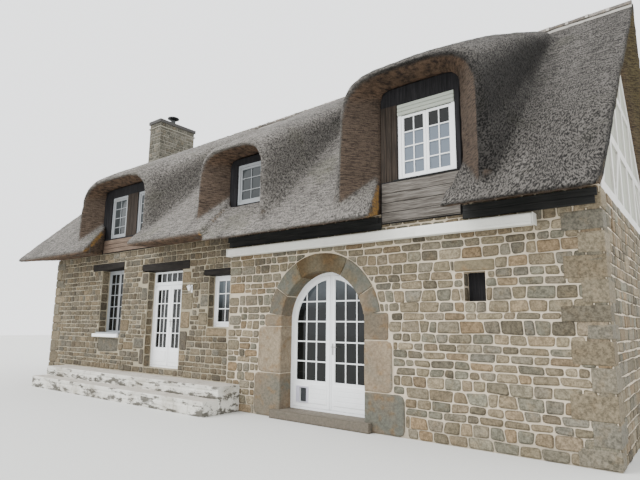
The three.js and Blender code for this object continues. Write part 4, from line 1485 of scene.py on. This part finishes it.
@dataclass
class Ridge(Part):
    """Half-round tiles bedded in mortar along the ridge."""
    lengths: tuple = (("ridge_cap_left", -10.87, -9.93), ("ridge_cap", -9.29, 4.76))
    tile: float = 0.40
    lap: float = 0.04
    radius: float = 0.115
    wider: float = 0.03                # how much a tile's radius grows in a metre
    collar: Span = (0.055, 0.012)      # its length and how far it stands over the tile
    sunk: float = 0.07                 # how far the tiles' edges lie below the thatch's ridge
    bed: Span = (0.125, 0.13)          # half the width of the mortar, and how far it drops

    def build(self) -> None:
        """Builds the tiles and their bed."""
        rng = random.Random(41)
        tiles, collars = blank(), blank()
        for node, start, end in self.lengths:
            self.piece(node.replace("cap", "bed"), "mortar_ridge", "ridge",
                       self._bed(start, end), replaced=(node,))
            count = max(2, round((end - start) / (self.tile - self.lap)))
            step = (end - start - self.tile) / (count - 1)
            for index in range(count):
                left = start + index * step
                self._half_round(tiles, left, self.tile, self.radius, rng)
                if index:
                    self._half_round(collars, left - 0.02, self.collar[0],
                                     self.radius + self.collar[1], rng)
        self.piece("ridge_tiles", "tile", "ridge", tiles)
        self.piece("ridge_collars", "mortar_ridge", "ridge", collars)

    def _bed(self, start: float, end: float) -> Mesh:
        """A lumpy band of mortar over the ridge.

        Args:
            start: Its left end.
            end: Its right end.

        Returns:
            Its mesh.
        """
        bm = blank()
        made = bmesh.ops.create_grid(bm, x_segments=int((end - start) / 0.07), y_segments=10,
                                     size=0.5)["verts"]
        half, drop = self.bed
        for vert in made:
            x, side = start + (vert.co.x + 0.5) * (end - start), vert.co.y * 2
            ragged = 0.02 * noise.noise(Vector((x * 3.1, side * 2, 0)))
            z = ridge_height(x) + 0.02 - drop * abs(side) ** 1.5 + ragged * 0.5
            vert.co = Vector((x, RIDGE_Y + side * (half + 0.6 * ragged), z))
        bmesh.ops.solidify(bm, geom=bm.faces[:], thickness=0.03)
        return bm

    def _half_round(self, bm: Mesh, start: float, long_side: float, radius: float,
                    rng: random.Random) -> None:
        """One half-round tile or collar, a little wider at its right end.

        Args:
            bm: The mesh.
            start: Its left end.
            long_side: Its length.
            radius: Its radius at the left end.
            rng: The seeded source of chance.
        """
        before = set(bm.verts)
        made = bmesh.ops.create_cone(bm, cap_ends=False, segments=20, radius1=radius,
                                     radius2=radius + self.wider * long_side, depth=long_side,
                                     matrix=Matrix.Rotation(math.pi / 2, 4, "Y"))["verts"]
        geom = list({g for v in made for g in (v, *v.link_edges, *v.link_faces)})
        bmesh.ops.bisect_plane(bm, geom=geom, plane_co=(0, 0, 0.01), plane_no=(0, 0, 1),
                               clear_inner=True)
        bmesh.ops.solidify(bm, geom=faces_round(added(bm, before)), thickness=0.014)
        kept = added(bm, before)
        x = start + long_side / 2
        z = ridge_height(x) - self.sunk + rng.uniform(-0.006, 0.004)
        lean = Matrix.Rotation(-RIDGE_RISE + 0.02 + rng.uniform(-0.01, 0.01), 4, "Y")
        bmesh.ops.transform(bm, matrix=Matrix.Translation((x, RIDGE_Y, z)) @ lean, verts=kept)
        tone_of(bm, kept, rng)


@dataclass
class Chimney(Part):
    """Rubble on the chimney's four sides, below and above its drip course."""
    left: float = -9.92
    right: float = -9.30
    front: float = 2.7
    back: float = 4.14
    low: float = 6.3
    band: float = 8.47
    top: float = 8.65

    def build(self) -> None:
        """Lays the stones."""
        wide, deep = self.right - self.left, self.back - self.front
        sides = (("front", (self.left, self.front), (1, 0, 0), wide),
                 ("right", (self.right, self.front), (0, 1, 0), deep),
                 ("back", (self.right, self.back), (-1, 0, 0), wide),
                 ("left", (self.left, self.back), (0, -1, 0), deep))
        levels = (("stack", self.low, self.band - self.low - 0.004, 50),
                  ("stack_crown", self.band + 0.042, self.top - self.band - 0.044, 60))
        for index, (side, corner, along, reach) in enumerate(sides):
            for name, low, tall, seed in levels:
                stones = Stonework(f"{name}_stones_{side}", facing((*corner, low), along),
                                   (reach, tall), seed + index, **Bond.STACK.value)
                stones.lay(self.paint["stone_stack"], "chimney")


# Doors and windows


@dataclass(frozen=True)
class Bars:
    """Glazing bars before a pane."""
    depth: Span
    width: float = 0.022

    def rows(self, bm: Mesh, x: Span, heights: tuple) -> None:
        """Adds level bars at the given heights."""
        for z in heights:
            block(bm, x, self.depth, (z - self.width / 2, z + self.width / 2), 0.004)

    def columns(self, bm: Mesh, z: Span, places: tuple) -> None:
        """Adds upright bars at the given places, a little thinner than the level ones.

        Args:
            bm: The mesh.
            z: Their reach in height.
            places: Their middles along x.
        """
        inside = (self.depth[0] + 0.0015, self.depth[1] - 0.0015)
        for x in places:
            block(bm, (x - self.width / 2, x + self.width / 2), inside, z, 0.004)


@dataclass(frozen=True)
class Handle:
    """A lever handle on its plate."""
    x: float
    face: float                        # the front of the leaf it stands on
    z: float
    half: float                        # half the plate's width
    plate: Span                        # the plate's reach below and above z
    neck: float                        # how far the neck stands out
    lever: Span                        # how far the lever stands out and reaches to the right

    def add(self, bm: Mesh) -> None:
        """Adds the handle.

        Args:
            bm: The mesh.
        """
        x, y, high = self.x, self.face, self.z + 0.03
        out, reach = self.lever
        block(bm, (x - self.half, x + self.half), (y - 0.006, y + 0.001),
              (self.z - self.plate[0], self.z + self.plate[1]), 0.003, 2)
        rod(bm, Vector((x, y - self.neck, high)), Vector((x, y, high)), 0.008)
        rod(bm, Vector((x - 0.006, y - out, high)), Vector((x + reach, y - out, high)), 0.0075)


def bordered(bm: Mesh, x: Span, y: Span, z: Span, width: float, edge: float = 0.004) -> None:
    """Adds a frame of four bars.

    Args:
        bm: The mesh.
        x: Its outer reach along x.
        y: Its reach along y.
        z: Its outer reach along z.
        width: The width of its bars.
        edge: The width of its softened edges.
    """
    inner = (x[0] + width, x[1] - width)
    for across, up in (((x[0], inner[0]), z), ((inner[1], x[1]), z),
                       (inner, (z[0], z[0] + width)), (inner, (z[1] - width, z[1]))):
        block(bm, across, y, up, edge)


def between(first: float, second: float) -> Span:
    """The reach from one place to another, the smaller first."""
    return min(first, second), max(first, second)


@dataclass
class ArchDoor(Part):
    """Bars, boards, beads and furniture of the arched door's leaves."""
    face: float = ARCH_DEPTH + 0.004
    pane: float = 0.7975               # radius of the glass
    inner: float = 0.088               # from the middle to the glass
    glass_low: float = 0.653
    rows: tuple = (1.004, 1.362, 1.725, 2.091)
    columns: tuple = (0.3245, 0.561)
    bead: float = 0.014                # width of the bead round the glass
    boards: tuple = (                  # reach on the left leaf, up to the cat flap, and the right
        (-0.503, ARCH_X - 0.07), (ARCH_X + 0.07, ARCH_X + 0.777))
    board_levels: tuple = (ARCH_SILL + 0.12, 0.61, 4)   # low, high and how many boards
    cover_top: float = 2.548
    flap_rim: tuple = (                # reach of its surround's four bars
        ((-0.800, -0.724), (0.271, 0.558)), ((-0.556, -0.513), (0.271, 0.558)),
        ((-0.7235, -0.5565), (0.271, 0.2785)), ((-0.7235, -0.5565), (0.5325, 0.558)))

    def build(self) -> None:
        """Builds what is on both leaves."""
        for side, sign in (("left", -1), ("right", 1)):
            self._bars(sign)
            self._beads(sign)
            self._boards(sign)
            self.piece(f"arch_joinery_{side}", "white", "white_frame",
                       body=f"arch_leaf_{side}_body")
        self._flap()
        self._handle()

    def _rise(self, away: float) -> float:
        """Height of the glass's edge over the arch's spring, at a distance from the middle."""
        return math.sqrt(max(self.pane ** 2 - away ** 2, 0))

    def _bars(self, sign: int) -> None:
        """The glazing bars of one leaf.

        Args:
            sign: -1 for the left leaf, 1 for the right.
        """
        bars = Bars((self.face + 0.006, self.face + 0.0235), 0.024)
        for z in self.rows:
            over = z + bars.width / 2 - ARCH_SPRING
            reach = self.pane if over <= 0 else self._rise(over)
            bars.rows(self.bm, between(ARCH_X + sign * self.inner, ARCH_X + sign * reach), (z,))
        for away in self.columns:
            top = ARCH_SPRING + self._rise(away)
            bars.columns(self.bm, (self.glass_low, top), (ARCH_X + sign * away,))

    def _beads(self, sign: int) -> None:
        """A moulded bead round the glass of one leaf, and the meeting stile's cover.

        Args:
            sign: -1 for the left leaf, 1 for the right.
        """
        y, low, wide = (self.face + 0.002, self.face + 0.0235), self.glass_low, self.bead
        inner, outer = ARCH_X + sign * self.inner, ARCH_X + sign * self.pane
        near = between(inner - sign * 0.002, inner + sign * wide)
        far = between(outer - sign * wide, outer + sign * 0.002)
        block(self.bm, near, y, (low, ARCH_SPRING + self._rise(self.inner)), 0.004)
        block(self.bm, far, y, (low, ARCH_SPRING), 0.004)
        block(self.bm, between(inner, outer), y, (low - 0.002, low + wide), 0.004)
        self._crown_bead(sign, y)
        block(self.bm, between(ARCH_X + sign * 0.006, ARCH_X + sign * 0.034),
              (self.face - 0.010, self.face + 0.001), (ARCH_SILL + 0.06, self.cover_top), 0.004, 2)

    def _crown_bead(self, sign: int, y: Span) -> None:
        """The bead's curved length, spun from its section.

        Args:
            sign: -1 for the left leaf, 1 for the right.
            y: The bead's reach in depth.
        """
        before = set(self.bm.verts)
        far, near = ARCH_X + sign * (self.pane + 0.002), ARCH_X + sign * (self.pane - self.bead)
        verts = [self.bm.verts.new((x, depth, ARCH_SPRING)) for x, depth in
                 ((far, y[0]), (near, y[0]), (near, y[1]), (far, y[1]))]
        face = self.bm.faces.new(verts)
        bmesh.ops.spin(self.bm, geom=[*verts, *face.edges, face], cent=(ARCH_X, 0, ARCH_SPRING),
                       axis=(0, -sign, 0), angle=math.acos(self.inner / self.pane), steps=16,
                       use_merge=False)
        bmesh.ops.recalc_face_normals(self.bm, faces=faces_round(added(self.bm, before)))

    def _boards(self, sign: int) -> None:
        """Level boards on the lower panel of one leaf.

        Args:
            sign: -1 for the left leaf, 1 for the right.
        """
        low, high, count = self.board_levels
        tall = (high - low) / count
        for index in range(count):
            z = low + index * tall
            block(self.bm, self.boards[sign > 0], (self.face - 0.009, self.face + 0.002),
                  (z + 0.003, z + tall - 0.003), 0.005, 2)

    def _flap(self) -> None:
        """The cat flap's plastic surround, with its rim round the opening."""
        y = (self.face - 0.0165, self.face - 0.0085)
        for x, z in self.flap_rim:
            block(self.bm, x, y, z, 0.003, 2)
        bordered(self.bm, (-0.731, -0.549), (self.face - 0.022, self.face - 0.017), (0.271, 0.54),
                 0.0075, 0.002)
        self.piece("flap_surround", "flap_frame", "flap", body="arch_leaf_left_body")

    def _handle(self) -> None:
        """Lever handle, plate and keyhole on the right leaf."""
        x, y, z = ARCH_X + 0.055, self.face, 1.25
        Handle(x, y, z, 0.016, (0.11, 0.09), 0.045, (0.042, 0.11)).add(self.bm)
        rod(self.bm, Vector((x, y - 0.012, z - 0.06)), Vector((x, y, z - 0.06)), 0.009)
        self.piece("arch_handle", "nickel", "white_frame", body="arch_leaf_right_body")


@dataclass
class Entrance(Part):
    """Bars, panels and furniture of the entrance door and its transom."""
    left: float = -5.308
    right: float = -3.987
    frame: float = 0.056               # width of the frame's stiles
    face: float = 0.192
    glass: Span = (1.093, 2.464)
    rows: tuple = (1.437, 1.782, 2.125)
    panel: Span = (0.78, 1.03)
    cover: Span = (0.71, 2.54)
    transom: Span = (2.633, 2.84)

    def build(self) -> None:
        """Builds what is on the leaves and the transom."""
        inner = (self.left + self.frame, self.right - self.frame)
        middle = sum(inner) / 2
        self._leaf("left", (inner[0] + 0.006, middle - 0.003))
        self._leaf("right", (middle + 0.003, inner[1] - 0.006))
        sixth = (inner[1] - inner[0]) / 6
        Bars((self.face + 0.002, self.face + 0.0255)).columns(
            self.bm, self.transom, tuple(inner[0] + sixth * i for i in range(1, 6)))
        self.piece("transom_bars", "white", "white_frame")
        handle = Handle(middle + 0.045, self.face, 1.68, 0.015, (0.1, 0.08), 0.04, (0.038, 0.1))
        handle.add(self.bm)
        self.piece("entrance_handle", "nickel", "white_frame", body="entrance_leaf_right_body")

    def _leaf(self, side: str, x: Span) -> None:
        """Bars, bead, panel and cover of one leaf.

        Args:
            side: Which leaf.
            x: The leaf's reach.
        """
        face, pane, panel = self.face, (x[0] + 0.08, x[1] - 0.08), (x[0] + 0.07, x[1] - 0.07)
        bars = Bars((face + 0.005, face + 0.0225), 0.02)
        bars.rows(self.bm, pane, self.rows)
        third = (pane[1] - pane[0]) / 3
        bars.columns(self.bm, self.glass, (pane[0] + third, pane[0] + 2 * third))
        bordered(self.bm, pane, (face + 0.001, face + 0.0225), self.glass, 0.012)
        bordered(self.bm, panel, (face - 0.008, face + 0.002), self.panel, 0.018)
        block(self.bm, (panel[0] + 0.03, panel[1] - 0.03), (face - 0.006, face + 0.002),
              (self.panel[0] + 0.03, self.panel[1] - 0.03), 0.005, 2)
        edge, out = (x[1], -1) if side == "left" else (x[0], 1)
        block(self.bm, between(edge + out * 0.004, edge + out * 0.03), (face - 0.009, face + 0.001),
              self.cover, 0.004, 2)
        self.piece(f"entrance_joinery_{side}", "white", "white_frame",
                   body=f"entrance_leaf_{side}_body")


@dataclass(frozen=True)
class Casement:
    """Leaves and bars of one window, before its sheet of glass."""
    name: str
    x: Span
    z: Span
    face: float                        # the front of the leaves, towards the viewer
    leaves: int
    columns: int
    rows: tuple
    outward: int = -1                  # -1 faces the front, 1 the back
    stile: float = 0.045
    thick: float = 0.022
    finish: str = "white"

    def build(self, paint: Paint) -> None:
        """Builds the leaves.

        Args:
            paint: The finishes by name.
        """
        bm = blank()
        y = between(self.face, self.face - self.outward * self.thick)
        bars = Bars((y[0] + 0.004, y[1] - 0.001), 0.02)
        wide = (self.x[1] - self.x[0]) / self.leaves
        for leaf in range(self.leaves):
            x0 = self.x[0] + leaf * wide + 0.002
            x1 = x0 + wide - 0.004
            bordered(bm, (x0, x1), y, self.z, self.stile)
            bars.rows(bm, (x0 + self.stile, x1 - self.stile), self.rows)
            pane = (x1 - x0 - 2 * self.stile) / self.columns
            places = tuple(x0 + self.stile + pane * i for i in range(1, self.columns))
            bars.columns(bm, (self.z[0] + self.stile, self.z[1] - self.stile), places)
        to_piece(bm, self.name, paint[self.finish], "white_frame")


@dataclass(frozen=True)
class Beam:
    """A hewn timber in place of a plain lintel, slimmer towards one end."""
    node: str
    left_cut: float                    # how much is hewn off its lower edge at either end
    right_cut: float
    step: float = 0.07
    rough: float = 0.012

    def build(self, paint: Paint) -> None:
        """Builds the beam.

        Args:
            paint: The finishes by name.
        """
        low, high = (Vector(corner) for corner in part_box(self.node))
        bm = blank()
        block(bm, (low.x, high.x), (low.y, high.y), (low.z, high.z), 0)
        along = [e for e in bm.edges if abs((e.verts[0].co - e.verts[1].co).x) > 0.1]
        bmesh.ops.subdivide_edges(bm, edges=along, cuts=int((high.x - low.x) / self.step),
                                  use_grid_fill=True)
        for vert in bm.verts:
            share = (vert.co.x - low.x) / (high.x - low.x)
            hewn = self.left_cut * (1 - share) ** 2 + self.right_cut * share ** 2
            under = (high.z - vert.co.z) / (high.z - low.z)
            rough = noise.noise_vector(vert.co * 4.5) * self.rough
            if vert.co.y < low.y + 0.01:
                vert.co += Vector((0, rough.y - 0.004, (hewn + rough.z) * under))
        sharp = [e for e in bm.edges if len(e.link_faces) == 2 and e.calc_face_angle(0) > 0.9]
        soften(bm, sharp, 0.012, 2)
        to_piece(bm, self.node.replace("lintel", "beam"), paint["lintel"], "lintel",
                 replaced=(self.node,), moved=False)


@dataclass
class Windows(Part):
    """Casements and sills of the ground floor, front and back, and all lintels."""
    beams: tuple = (Beam("lintel_entrance", 0.04, 0.0), Beam("lintel_left_window", 0.0, 0.045),
                    Beam("lintel_small_window", 0.025, 0.01))
    rows: tuple = (1.782, 2.082, 2.385, 2.684)
    back: tuple = ((-7.388, -6.462), (0.362, 1.288))
    back_lintels: tuple = ((-7.6, -6.25), (0.15, 1.5))
    back_sills: tuple = ((-7.5, -6.35), (0.25, 1.4))

    def build(self) -> None:
        """Builds every casement, sill and lintel."""
        for beam in self.beams:
            beam.build(self.paint)
        Casement("left_window_leaves", (-7.388, -6.462), (1.425, 2.968), 0.2215, 2, 2, self.rows,
                 stile=0.036, finish="old_white").build(self.paint)
        Casement("small_window_leaf", (-3.004, -2.457), (1.663, 2.617), 0.1815, 1, 2,
                 (1.98, 2.30)).build(self.paint)
        for index, x in enumerate(self.back, start=1):
            self._back_window(index, x)
        block(self.bm, (-7.62, -6.42), (-0.075, -0.014), (1.30, 1.38), 0.008, 2)
        self.piece("left_window_sill", "white", "white_frame")
        for x in self.back_lintels:
            block(self.bm, x, (DEPTH - 0.2, DEPTH + 0.015), (3.03, 3.22), 0.01, 2)
        self.piece("back_lintels", "lintel", "lintel")
        self.rng.seed(71)
        for x in self.back_sills:
            self.toned(x, (DEPTH - 0.215, DEPTH + 0.05), (1.3, 1.376), 0.012, 2, 0.6)
        self.piece("back_sills", "granite", "granite")

    def _back_window(self, index: int, x: Span) -> None:
        """Leaves and panes of one window at the back.

        Args:
            index: Its number.
            x: The reach of its leaves.
        """
        Casement(f"back_window_leaves_{index}", x, (1.443, 2.968), 6.378, 2, 2, self.rows,
                 outward=1, thick=0.02).build(self.paint)
        middle = sum(x) / 2
        for pane in ((x[0] + 0.03, middle - 0.03), (middle + 0.03, x[1] - 0.03)):
            block(self.bm, pane, (6.3585, 6.3615), (1.47, 2.94), 0.001)
        self.piece(f"back_window_panes_{index}", "glass_dim", "glass")


# Dormers


@dataclass
class Dormers(Part):
    """Boards, shutter box, posts and casements of the three dormers."""
    front: float = 0.02                # the dormer walls' face
    leaf: float = 0.0415               # the leaves' face
    level_y: Span = (-0.062, -0.041)   # depth of the level boards below a window

    def build(self) -> None:
        """Builds the three dormers."""
        self._right()
        self._middle()
        self._left()

    def _boards(self, name: str, finish: str, x: Span, joints: tuple) -> None:
        """Level boards between the given heights, each a little out of line.

        Args:
            name: The piece's name.
            finish: Its finish, by name.
            x: The boards' reach.
            joints: The heights.
        """
        for low, high in zip(joints, joints[1:]):
            out = self.rng.uniform(0, 0.005)
            across = (x[0] + self.rng.uniform(0, 0.006), x[1] - self.rng.uniform(0, 0.006))
            self.toned(across, (self.level_y[0] - out, self.level_y[1]),
                       (low + 0.005, high - 0.004), 0.004, 2)
        self.piece(name, finish, "dark_boards")

    def _uprights(self, name: str, finish: str, spans: tuple, z: Span) -> None:
        """Upright boards side by side.

        Args:
            name: The piece's name.
            finish: Its finish, by name.
            spans: For each group of boards its reach along x and the width of a board.
            z: The boards' reach in height.
        """
        for x, width in spans:
            count = max(1, round((x[1] - x[0]) / width))
            step = (x[1] - x[0]) / count
            for index in range(count):
                y = (self.front - 0.018 - self.rng.uniform(0, 0.004), self.front - 0.001)
                left = x[0] + index * step
                self.toned((left + 0.003, left + step - 0.003), y, z, 0.003)
        self.piece(name, finish, "dark_boards")

    def _right(self) -> None:
        """The right dormer: tall double casement under a shutter box."""
        self.rng.seed(81)
        self._boards("dormer_right_boards", "boards", (1.27, 2.62),
                     (3.31, 3.33, 3.486, 3.644, 3.798, 3.98))
        block(self.bm, (1.5, 2.6), (-0.07, -0.03), (3.984, 4.012), 0.004)
        self.piece("dormer_right_strip", "fascia", "dark_boards")
        for name, finish, x, width in (("cheek", "brown_boards", (1.225, 1.54), 0.1),
                                       ("edge", "dark_boards", (2.55, 2.635), 0.08)):
            self._uprights(f"dormer_right_{name}", finish, ((x, width),), (4.0, 5.33))
        for slat in ((5.13, 5.19), (5.194, 5.254), (5.258, 5.318)):
            block(self.bm, (1.545, 2.545), (0.002, 0.04), slat, 0.008, 2)
        self.piece("shutter_box", "cream", "white_frame")
        Casement("dormer_right_leaves", (1.602, 2.488), (4.068, 5.125), self.leaf, 2, 2,
                 (4.329, 4.58, 4.832)).build(self.paint)

    def _middle(self) -> None:
        """The middle dormer: one narrow leaf."""
        self.rng.seed(82)
        self._uprights("dormer_middle_boards", "dark_boards",
                       (((-2.525, -2.305), 0.11), ((-1.555, -1.405), 0.08)), (3.9, 5.0))
        Casement("dormer_middle_leaf", (-2.243, -1.617), (4.188, 4.932), self.leaf, 1, 2,
                 (4.43, 4.69), finish="old_white").build(self.paint)

    def _left(self) -> None:
        """The left dormer: two windows with a post between."""
        self.rng.seed(83)
        self._boards("dormer_left_boards", "pink_boards", (-7.4, -5.17), (3.49, 3.6, 3.71, 3.83))
        self._uprights("dormer_left_cheeks", "dark_boards",
                       (((-7.62, -7.235), 0.12), ((-5.295, -5.175), 0.1)), (3.85, 5.0))
        self._uprights("dormer_left_post", "brown_boards", (((-6.49, -6.01), 0.16),), (3.87, 5.0))
        for index, x in enumerate(((-7.173, -6.557), (-5.943, -5.357)), start=1):
            Casement(f"dormer_left_leaf_{index}", x, (3.938, 4.942), self.leaf, 1, 2,
                     (4.18, 4.43, 4.68), finish="old_white").build(self.paint)


# Outside pieces


@dataclass(frozen=True)
class Step:
    """One level of the terrace, from its front to where the next level rises."""
    name: str
    top: float
    front: float
    back: float
    faced: float                       # height of the stones on its face
    seed: int


@dataclass
class Outside(Part):
    """Awning cassette, wall lamp, terrace facing, the niche's stone and the eaves board."""
    left: float = -8.9                 # the terrace's ends
    right: float = -2.0
    steps: tuple = (Step("upper", 0.5, -0.55, -0.004, 0.41, 92),
                    Step("lower", 0.27, -0.9, -0.552, 0.18, 93))
    kerb: Span = (0.5, 1.1)            # length of a kerb stone
    kerb_deep: float = 0.08
    eaves: tuple = ((-2.4, 1.25), (2.64, 4.38))

    def build(self) -> None:
        """Builds the outside pieces."""
        self._awning()
        self._lamp()
        self._terrace()
        self._niche()
        for x in self.eaves:
            block(self.bm, x, (-0.056, -0.026), (3.225, 3.328), 0.003)
        self.piece("eaves_board", "fascia", "dark_boards")

    def _awning(self) -> None:
        """A rounded cassette with end plates and a lower rail."""
        block(self.bm, (-2.335, 3.645), (-0.178, -0.002), (3.04, 3.181), 0.03, 4)
        block(self.bm, (-2.325, 3.635), (-0.183, -0.06), (3.018, 3.062), 0.008, 2)
        for x in (-2.35, 3.645):
            block(self.bm, (x, x + 0.015), (-0.185, -0.001), (3.016, 3.181), 0.006, 2)
        self.piece("awning_cassette", "awning", "awning", replaced=("awning",))

    def _lamp(self) -> None:
        """A small lamp on the wall beside the entrance."""
        x, y, z = -3.62, -0.05, 2.42
        block(self.bm, (x - 0.02, x + 0.02), (-0.02, 0.0), (z - 0.08, z + 0.09), 0.004, 2)
        rod(self.bm, Vector((x, -0.01, z)), Vector((x, y, z)), 0.01)
        for low, high, tall, up in ((0.02, 0.06, 0.09, 0.0), (0.07, 0.01, 0.04, 0.066)):
            bmesh.ops.create_cone(self.bm, cap_ends=True, segments=12, radius1=low, radius2=high,
                                  depth=tall, matrix=Matrix.Translation((x, y - 0.03, z + up)))
        self.piece("wall_lamp", "white", "white_frame")

    def _terrace(self) -> None:
        """Kerb stones and facing of the terrace and its lower step."""
        self.rng.seed(91)
        for step in self.steps:
            self._kerbs(step)
        self.piece("terrace_kerbs", "whitewash", "terrace")
        for step in self.steps:
            for name, x, along, reach, seed, bond in (
                    ("stones", self.left, (1, 0, 0), self.right - self.left, 0, Bond.STEP),
                    ("end", self.right, (0, 1, 0), -step.front - 0.001, 4, Bond.STEP_END)):
                stones = Stonework(f"terrace_{name}_{step.name}", facing((x, step.front, 0), along),
                                   (reach, step.faced), step.seed + seed, **bond.value)
                stones.lay(self.paint["whitewash"], "terrace")

    def _kerbs(self, step: Step) -> None:
        """Kerb stones along the edge of one level.

        Args:
            step: The level.
        """
        x, end = self.left, self.right
        while x < end:
            long_side = min(self.rng.uniform(*self.kerb), end - x)
            if end - x - long_side < 0.25:
                long_side = end - x
            z = (step.top - self.kerb_deep + self.rng.uniform(-0.01, 0.005),
                 step.top + self.rng.uniform(-0.002, 0.004))
            self.toned((x + 0.004, x + long_side - 0.004), (step.front - 0.006, step.back), z,
                       0.012, 2)
            x += long_side

    def _niche(self) -> None:
        """The big stone over the niche, and a near-black panel at its back as painted shade."""
        self.rng.seed(95)
        self.toned((2.46, 3.06), (-0.022, 0.1), (2.455, 2.62), 0.03, 3, 0.2)
        self.piece("niche_stone", "granite", "granite")
        # a near-black panel standing for the shade deep in the niche
        block(self.bm, (2.604, 2.916), (0.186, 0.199), (2.024, 2.446), 0.002)
        self.piece("niche_back", "dark_boards", "dark_boards")


# Stage


@dataclass(frozen=True)
class Viewpoint:
    """The photograph's camera, in the model's frame."""
    place: tuple = (8.2337, -10.3706, 1.6684)
    pitch: float = 9.55
    yaw: float = -37.9
    roll: float = 0.599
    lens: float = 28.31
    sensor: float = 36.0

    def make(self) -> None:
        """Makes the camera and gives it to the scene."""
        pitch, yaw, roll = (math.radians(a) for a in (self.pitch, self.yaw, self.roll))
        ahead = Vector((math.sin(yaw) * math.cos(pitch), math.cos(yaw) * math.cos(pitch),
                        math.sin(pitch)))
        right = Vector((math.cos(yaw), -math.sin(yaw), 0))
        up = right.cross(ahead)
        turned = right * math.cos(roll) + up * math.sin(roll)
        raised = up * math.cos(roll) - right * math.sin(roll)
        data = bpy.data.cameras.new("viewpoint")
        data.lens = self.lens
        data.sensor_width = self.sensor
        data.sensor_fit = "HORIZONTAL"
        camera = bpy.data.objects.new("viewpoint", data)
        turn = Matrix((turned, raised, -ahead)).transposed().to_4x4()
        camera.matrix_world = Matrix.Translation(self.place) @ turn
        bpy.context.scene.collection.objects.link(camera)
        bpy.context.scene.camera = camera


@dataclass(frozen=True)
class Studio:
    """Pale floor and soft light."""
    half: float = 60.0                 # half the floor's width
    sky: tuple = (0.97, 0.985, 1.0, 1.0)
    sky_strength: float = 2.3
    sun_strength: float = 2.4
    sun_width: float = 35.0            # degrees
    sun_from: tuple = (-0.45, -0.5, 0.85)

    def make(self) -> None:
        """Makes the floor, the sky and the soft sun."""
        mesh = bpy.data.meshes.new("studio_floor")
        bm = blank()
        bmesh.ops.create_grid(bm, x_segments=1, y_segments=1, size=self.half)
        bm.to_mesh(mesh)
        bm.free()
        mesh.materials.append(PaintFinish("pale_floor", srgb(206, 206, 202), dirty=0.0,
                                          rough=0.9).make())
        floor = bpy.data.objects.new("studio_floor", mesh)
        bpy.context.scene.collection.objects.link(floor)
        world = bpy.data.worlds.new("soft_sky")
        bpy.context.scene.world = world
        world.use_nodes = True
        ground = world.node_tree.nodes["Background"]
        ground.inputs["Color"].default_value = self.sky
        ground.inputs["Strength"].default_value = self.sky_strength
        sun = bpy.data.lights.new("soft_sun", "SUN")
        sun.energy = self.sun_strength
        sun.angle = math.radians(self.sun_width)
        lamp = bpy.data.objects.new("soft_sun", sun)
        lamp.rotation_euler = Vector(self.sun_from).to_track_quat("Z", "Y").to_euler()
        bpy.context.scene.collection.objects.link(lamp)


NODE_FINISH = {
    "mortar": ("wall_front_left", "wall_front_middle", "wall_over_entrance", "wall_front_right",
               "wall_over_arch", "wall_back", "gable_left", "gable_right", "arch_stones"),
    "step_stone": ("arch_door_sill",),
    "panel": ("gable_infill",),
    "white_timber": ("gable_timbers",),
    "floor": ("ground_floor", "upper_floor"),
    "mortar_stack": ("chimney_stack",),
    "slab": ("chimney_cap",),
    "steel": ("chimney_cowl",),
    "lintel": ("lintel_entrance", "lintel_left_window", "lintel_small_window"),
    "white": ("small_window_frame", "back_window_1", "back_window_2", "dormer_right_frame",
              "arch_leaf_left", "arch_leaf_right", "arch_frame", "entrance_leaf_left",
              "entrance_leaf_right", "entrance_frame"),
    "old_white": ("left_window_frame", "dormer_left_frame", "dormer_middle_frame"),
    "glass": ("small_window_glass", "arch_glass_left", "arch_glass_right"),
    "glass_dim": ("left_window_glass", "entrance_transom_glass", "entrance_glass_left",
                  "entrance_glass_right", "dormer_left_glass", "dormer_middle_glass"),
    "glass_high": ("dormer_right_glass",),
    "dark_boards": ("dormer_left_front", "dormer_middle_front", "dormer_right_front"),
    "fascia": ("eaves_beam",),
    "flap": ("cat_flap",),
    "whitewash": ("terrace",),
    "thatch": THATCH,
    "tile": ("ridge_cap", "ridge_cap_left"),
    "awning": ("awning",),
}


def dress_nodes(paint: Paint) -> None:
    """Gives every node of the model its finish.

    Args:
        paint: The finishes by name.
    """
    for finish, nodes in NODE_FINISH.items():
        for node in nodes:
            for held in frame["nodes"][node].material_slots:
                held.material = paint[finish]


def main() -> None:
    """Builds the whole scene and writes how large it came out."""
    logging.basicConfig(level=logging.INFO, format="%(message)s")
    noise.seed_set(NOISE_SEED)
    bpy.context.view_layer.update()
    Viewpoint().make()
    Studio().make()
    paint = finishes()
    dress_nodes(paint)
    for part in (Walls, ArchSurround, Thatch, Ridge, Chimney, ArchDoor, Entrance, Windows,
                 Dormers, Outside):
        part(paint).build()
        log.info("built %s", part.__name__)


if __name__ == "__main__":
    main()
